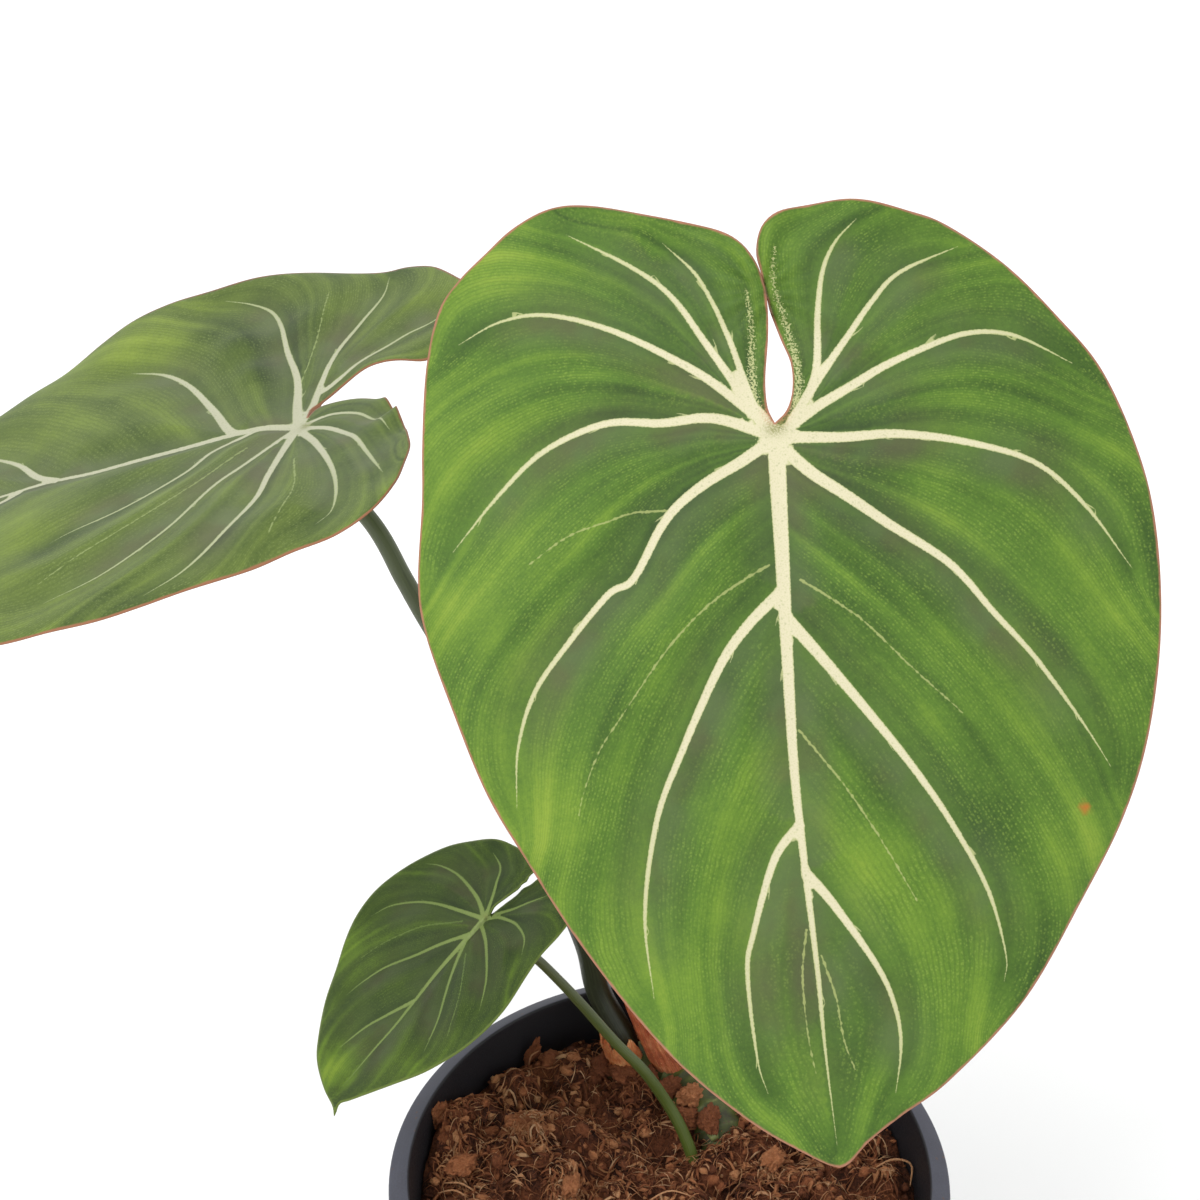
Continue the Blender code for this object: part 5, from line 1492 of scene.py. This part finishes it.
def scatter(spec, height, rng):
    """Lumps or flakes half sunk in the soil: their points, faces, tones and grain."""
    shapes = crumb_shapes(spec["kinds"], spec["rounds"], rng)
    smallest, largest = spec["sizes"]
    points, faces, tone, grain, total = [], [], [], [], 0
    for _ in range(spec["count"]):
        shape, shape_faces = shapes[rng.integers(len(shapes))]
        size = smallest * (largest / smallest) ** (rng.uniform(0, 1) ** 1.6)
        stretch = np.array((1.0, rng.uniform(0.55, 0.9), rng.uniform(*spec["flatness"]))) * size
        x, y = free_spot(rng, 0.9 * size)
        tilt = Euler((rng.normal(0, 0.45), rng.normal(0, 0.45), rng.uniform(0, 2 * math.pi)))
        turn = np.array(tilt.to_matrix())
        local = shape * stretch
        centre = (x, y, height(x, y) + crumble(x, y) * 0.6 + spec["sink"] * size)
        points.append(local @ turn.T + centre)
        faces.append(shape_faces + total)
        total += len(shape)
        tone.append(np.full(len(shape), rng.uniform(*spec["tones"])))
        grain.append(local[:, (1, 0, 2)] + rng.uniform(0, 90, 3))
    return np.vstack(points), np.vstack(faces), np.concatenate(tone), np.vstack(grain)


def fibre(route, radius):
    """Points and faces of one thin three-sided fibre, narrower at both ends."""
    def width(part):
        return radius * (0.25 + math.sin(math.pi * part) ** 0.5 * 0.75)

    points, faces, _, _ = tube(route, width, 3, 1.1)
    return np.array(points), faces


def wisps(spec, height, rng, tuft=None):
    """Curved fibres or shreds lying in the soil, each with its own tone; a tuft's lie round its middle."""
    parts = []
    for _ in range(spec["count"]):
        x, y = free_spot(rng, 0.7 * spec["lengths"][1])
        if tuft:
            x, y = rng.normal(tuft[0], 0.5 * tuft[2]), rng.normal(tuft[1], 0.5 * tuft[2])
        way, length = rng.uniform(0, 2 * math.pi), rng.uniform(*spec["lengths"])
        bend, lift = rng.normal(0, spec["bends"]), rng.uniform(*spec["lifts"])
        route = []
        for part in (0.0, 0.35, 0.7, 1.0):
            turn = way + bend * part
            px, py = x + length * part * math.cos(turn), y + length * part * math.sin(turn)
            rise = lift * math.sin(math.pi * part) + rng.uniform(-0.1, 0.5)
            route.append((px, py, height(px, py) + crumble(px, py) * 0.5 + 0.4 + rise))
        parts.append((*fibre(route, rng.uniform(*spec["widths"])), rng.uniform(*spec["tones"])))
    return parts


def joined(parts):
    """One set of points, faces and tones from several."""
    points, faces, tones, total = [], [], [], 0
    for part_points, part_faces, tone in parts:
        points.append(part_points)
        faces += [tuple(i + total for i in face) for face in part_faces]
        tones.append(np.full(len(part_points), tone))
        total += len(part_points)
    return np.vstack(points), faces, np.concatenate(tones)


PLACED_FIBRES = (  # route and radius of the fibres that stand out
    (((44.7, 8.5, 95.5), (49, 9.5, 97.5), (53, 8.5, 97), (52.5, 4, 95)), 0.30),
    (((-49, 5, 95), (-45, 3.6, 96.5), (-41, 1.5, 95.5)), 0.28),
    (((-50, 2, 95.2), (-46, 1.5, 96.6), (-42, -1, 95.6)), 0.24),
    (((-31.0, 39.6, 95), (-30.4, 39.0, 99), (-28.5, 38.2, 101.5)), 0.22),
    (((-6, -2, 95.6), (0, 1, 97), (6, 0, 96)), 0.22),
)
PLACED_CHIPS = (  # centre, size, turn in degrees, tone
    ((-50.0, 21.0, 98.0), (3.0, 1.0, 5.6), (8, -14, 40), 0.62),
    ((-48.6, 15.5, 97.0), (2.6, 1.0, 4.4), (-12, 20, 65), 0.52),
    ((-30.0, 42.5, 96.5), (1.4, 0.9, 4.0), (6, 14, 20), 0.46),
    ((-45.0, 9.0, 96.4), (4.0, 2.4, 1.7), (12, 8, 30), 0.60),
    ((-31.5, 18.5, 99.0), (3.4, 2.6, 2.6), (10, 20, 30), 0.62),
    ((-21.0, 3.0, 96.6), (2.6, 1.8, 1.6), (14, -10, 70), 0.66),
    ((5.4, 27.6, 98.2), (3.4, 2.4, 1.6), (30, 12, 50), 0.66),
    ((4.0, 23.0, 96.6), (3.0, 2.6, 1.8), (20, 22, 20), 0.44),
    ((9.6, 21.5, 97.0), (3.4, 2.4, 1.9), (14, -12, 80), 0.40),
    ((0.6, 30.6, 97.2), (2.8, 2.2, 1.7), (30, -20, 10), 0.38),
    ((-3.6, 34.2, 97.2), (3.0, 2.0, 1.9), (20, 10, 120), 0.34),
    ((-9.4, 36.0, 96.6), (3.6, 2.2, 2.0), (24, 16, -20), 0.40),
    ((-14.6, 38.0, 96.2), (3.2, 2.4, 2.2), (14, -10, 60), 0.34),
    ((23.0, 10.0, 97.0), (2.8, 1.8, 1.6), (26, -14, 60), 0.66),
    ((3.0, -4.0, 95.4), (3.6, 1.0, 0.9), (4, 10, -38), 0.80),
)


def make_crumbs(height, rng):
    points, faces, tone, grain = scatter(CRUMBS, height, rng)
    add_piece("soil_crumbs", points, faces, soil_material("soil_crumb_looks", 0.55), "soil", None,
              {"tone": tone}, {"grain": grain})


def make_chips(height, rng):
    """Flakes scattered by a seeded rule, and larger chips of bark set one by one."""
    points, faces, tone, grain = ([part] for part in scatter(FLAKES, height, rng))
    lumps = crumb_shapes(len(PLACED_CHIPS), CHIP_ROUNDS, rng)
    for (centre, size, turn_deg, chip_tone), (lump, lump_faces) in zip(PLACED_CHIPS, lumps):
        turn = np.array(Euler([math.radians(a) for a in turn_deg]).to_matrix())
        faces.append(lump_faces + sum(len(p) for p in points))
        points.append((lump * size) @ turn.T + centre)
        tone.append(np.full(len(lump), chip_tone))
        grain.append((lump * size)[:, (1, 0, 2)])
    add_piece("soil_chips", np.vstack(points), np.vstack(faces), soil_material("soil_chip_looks", 0.5),
              "soil", None, {"tone": np.concatenate(tone)}, {"grain": np.vstack(grain)})


def make_fibres(height, rng):
    parts = [(*fibre(route, radius), PLACED_FIBRE_TONE) for route, radius in PLACED_FIBRES]
    parts += wisps(FIBRES, height, rng)
    parts += wisps(SHREDS, height, rng)
    for x, y, reach, count, tones in TUFTS:
        parts += wisps({**TUFT_FIBRES, "count": count, "tones": tones}, height, rng, (x, y, reach))
    points, faces, tones = joined(parts)
    add_piece("soil_fibres", points, faces, soil_material("soil_fibre_looks", 0.3), "soil", None,
              {"tone": tones}, {"grain": points})


def make_camera():
    camera = bpy.data.objects.new("camera", bpy.data.cameras.new("camera"))
    camera.data.lens = LENS
    camera.data.sensor_width = SENSOR
    camera.data.clip_start = 0.01
    camera.location = [c * MM for c in CAMERA_PLACE]
    camera.rotation_euler = (math.radians(90 - CAMERA_PITCH_DOWN), 0, 0)
    bpy.context.collection.objects.link(camera)
    bpy.context.scene.camera = camera


def area_light(name, place, width, power):
    light = bpy.data.lights.new(name, "AREA")
    light.shape = "DISK"
    light.size = width
    light.energy = power
    lamp = bpy.data.objects.new(name, light)
    lamp.location = place
    lamp.rotation_euler = (Vector(LIGHT_TARGET) - Vector(place)).to_track_quat("-Z", "Y").to_euler()
    bpy.context.collection.objects.link(lamp)


def make_floor():
    """A plain pale floor."""
    n = Nodes("floor_looks")
    n.set("Base Color", n.mix(n.noise(n.place(), 3.0, 3.0), rgb(252, 252, 252), rgb(254, 254, 254)))
    n.set("Roughness", 0.85)
    mesh = bpy.data.meshes.new("floor")
    corners = [(x * FLOOR_REACH, y * FLOOR_REACH, 0) for x, y in ((-1, -1), (1, -1), (1, 1), (-1, 1))]
    mesh.from_pydata(corners, [], [(0, 1, 2, 3)])
    mesh.materials.append(n.material)
    floor = bpy.data.objects.new("floor", mesh)
    bpy.context.collection.objects.link(floor)


def make_light():
    """Soft even light from all round, a little stronger from above and in front."""
    world = bpy.data.worlds.new("studio")
    world.use_nodes = True
    background = world.node_tree.nodes["Background"]
    background.inputs["Color"].default_value = (1.0, 1.0, 1.0, 1.0)
    background.inputs["Strength"].default_value = 1.0
    bpy.context.scene.world = world
    for light in LIGHTS:
        area_light(*light)
    bpy.context.scene.view_settings.view_transform = "Standard"


def main():
    make_camera()
    make_floor()
    make_light()
    make_pot()
    height = soil_rule()
    rng = np.random.default_rng(SOIL_SEED + 1)
    make_soil(height)
    make_crumbs(height, rng)
    make_chips(height, rng)
    make_fibres(height, rng)
    make_rhizome()
    for name in SHEATHS:
        make_sheath(name)
    for name in LEAVES:
        make_petiole(name)
        make_blade(name)


main()
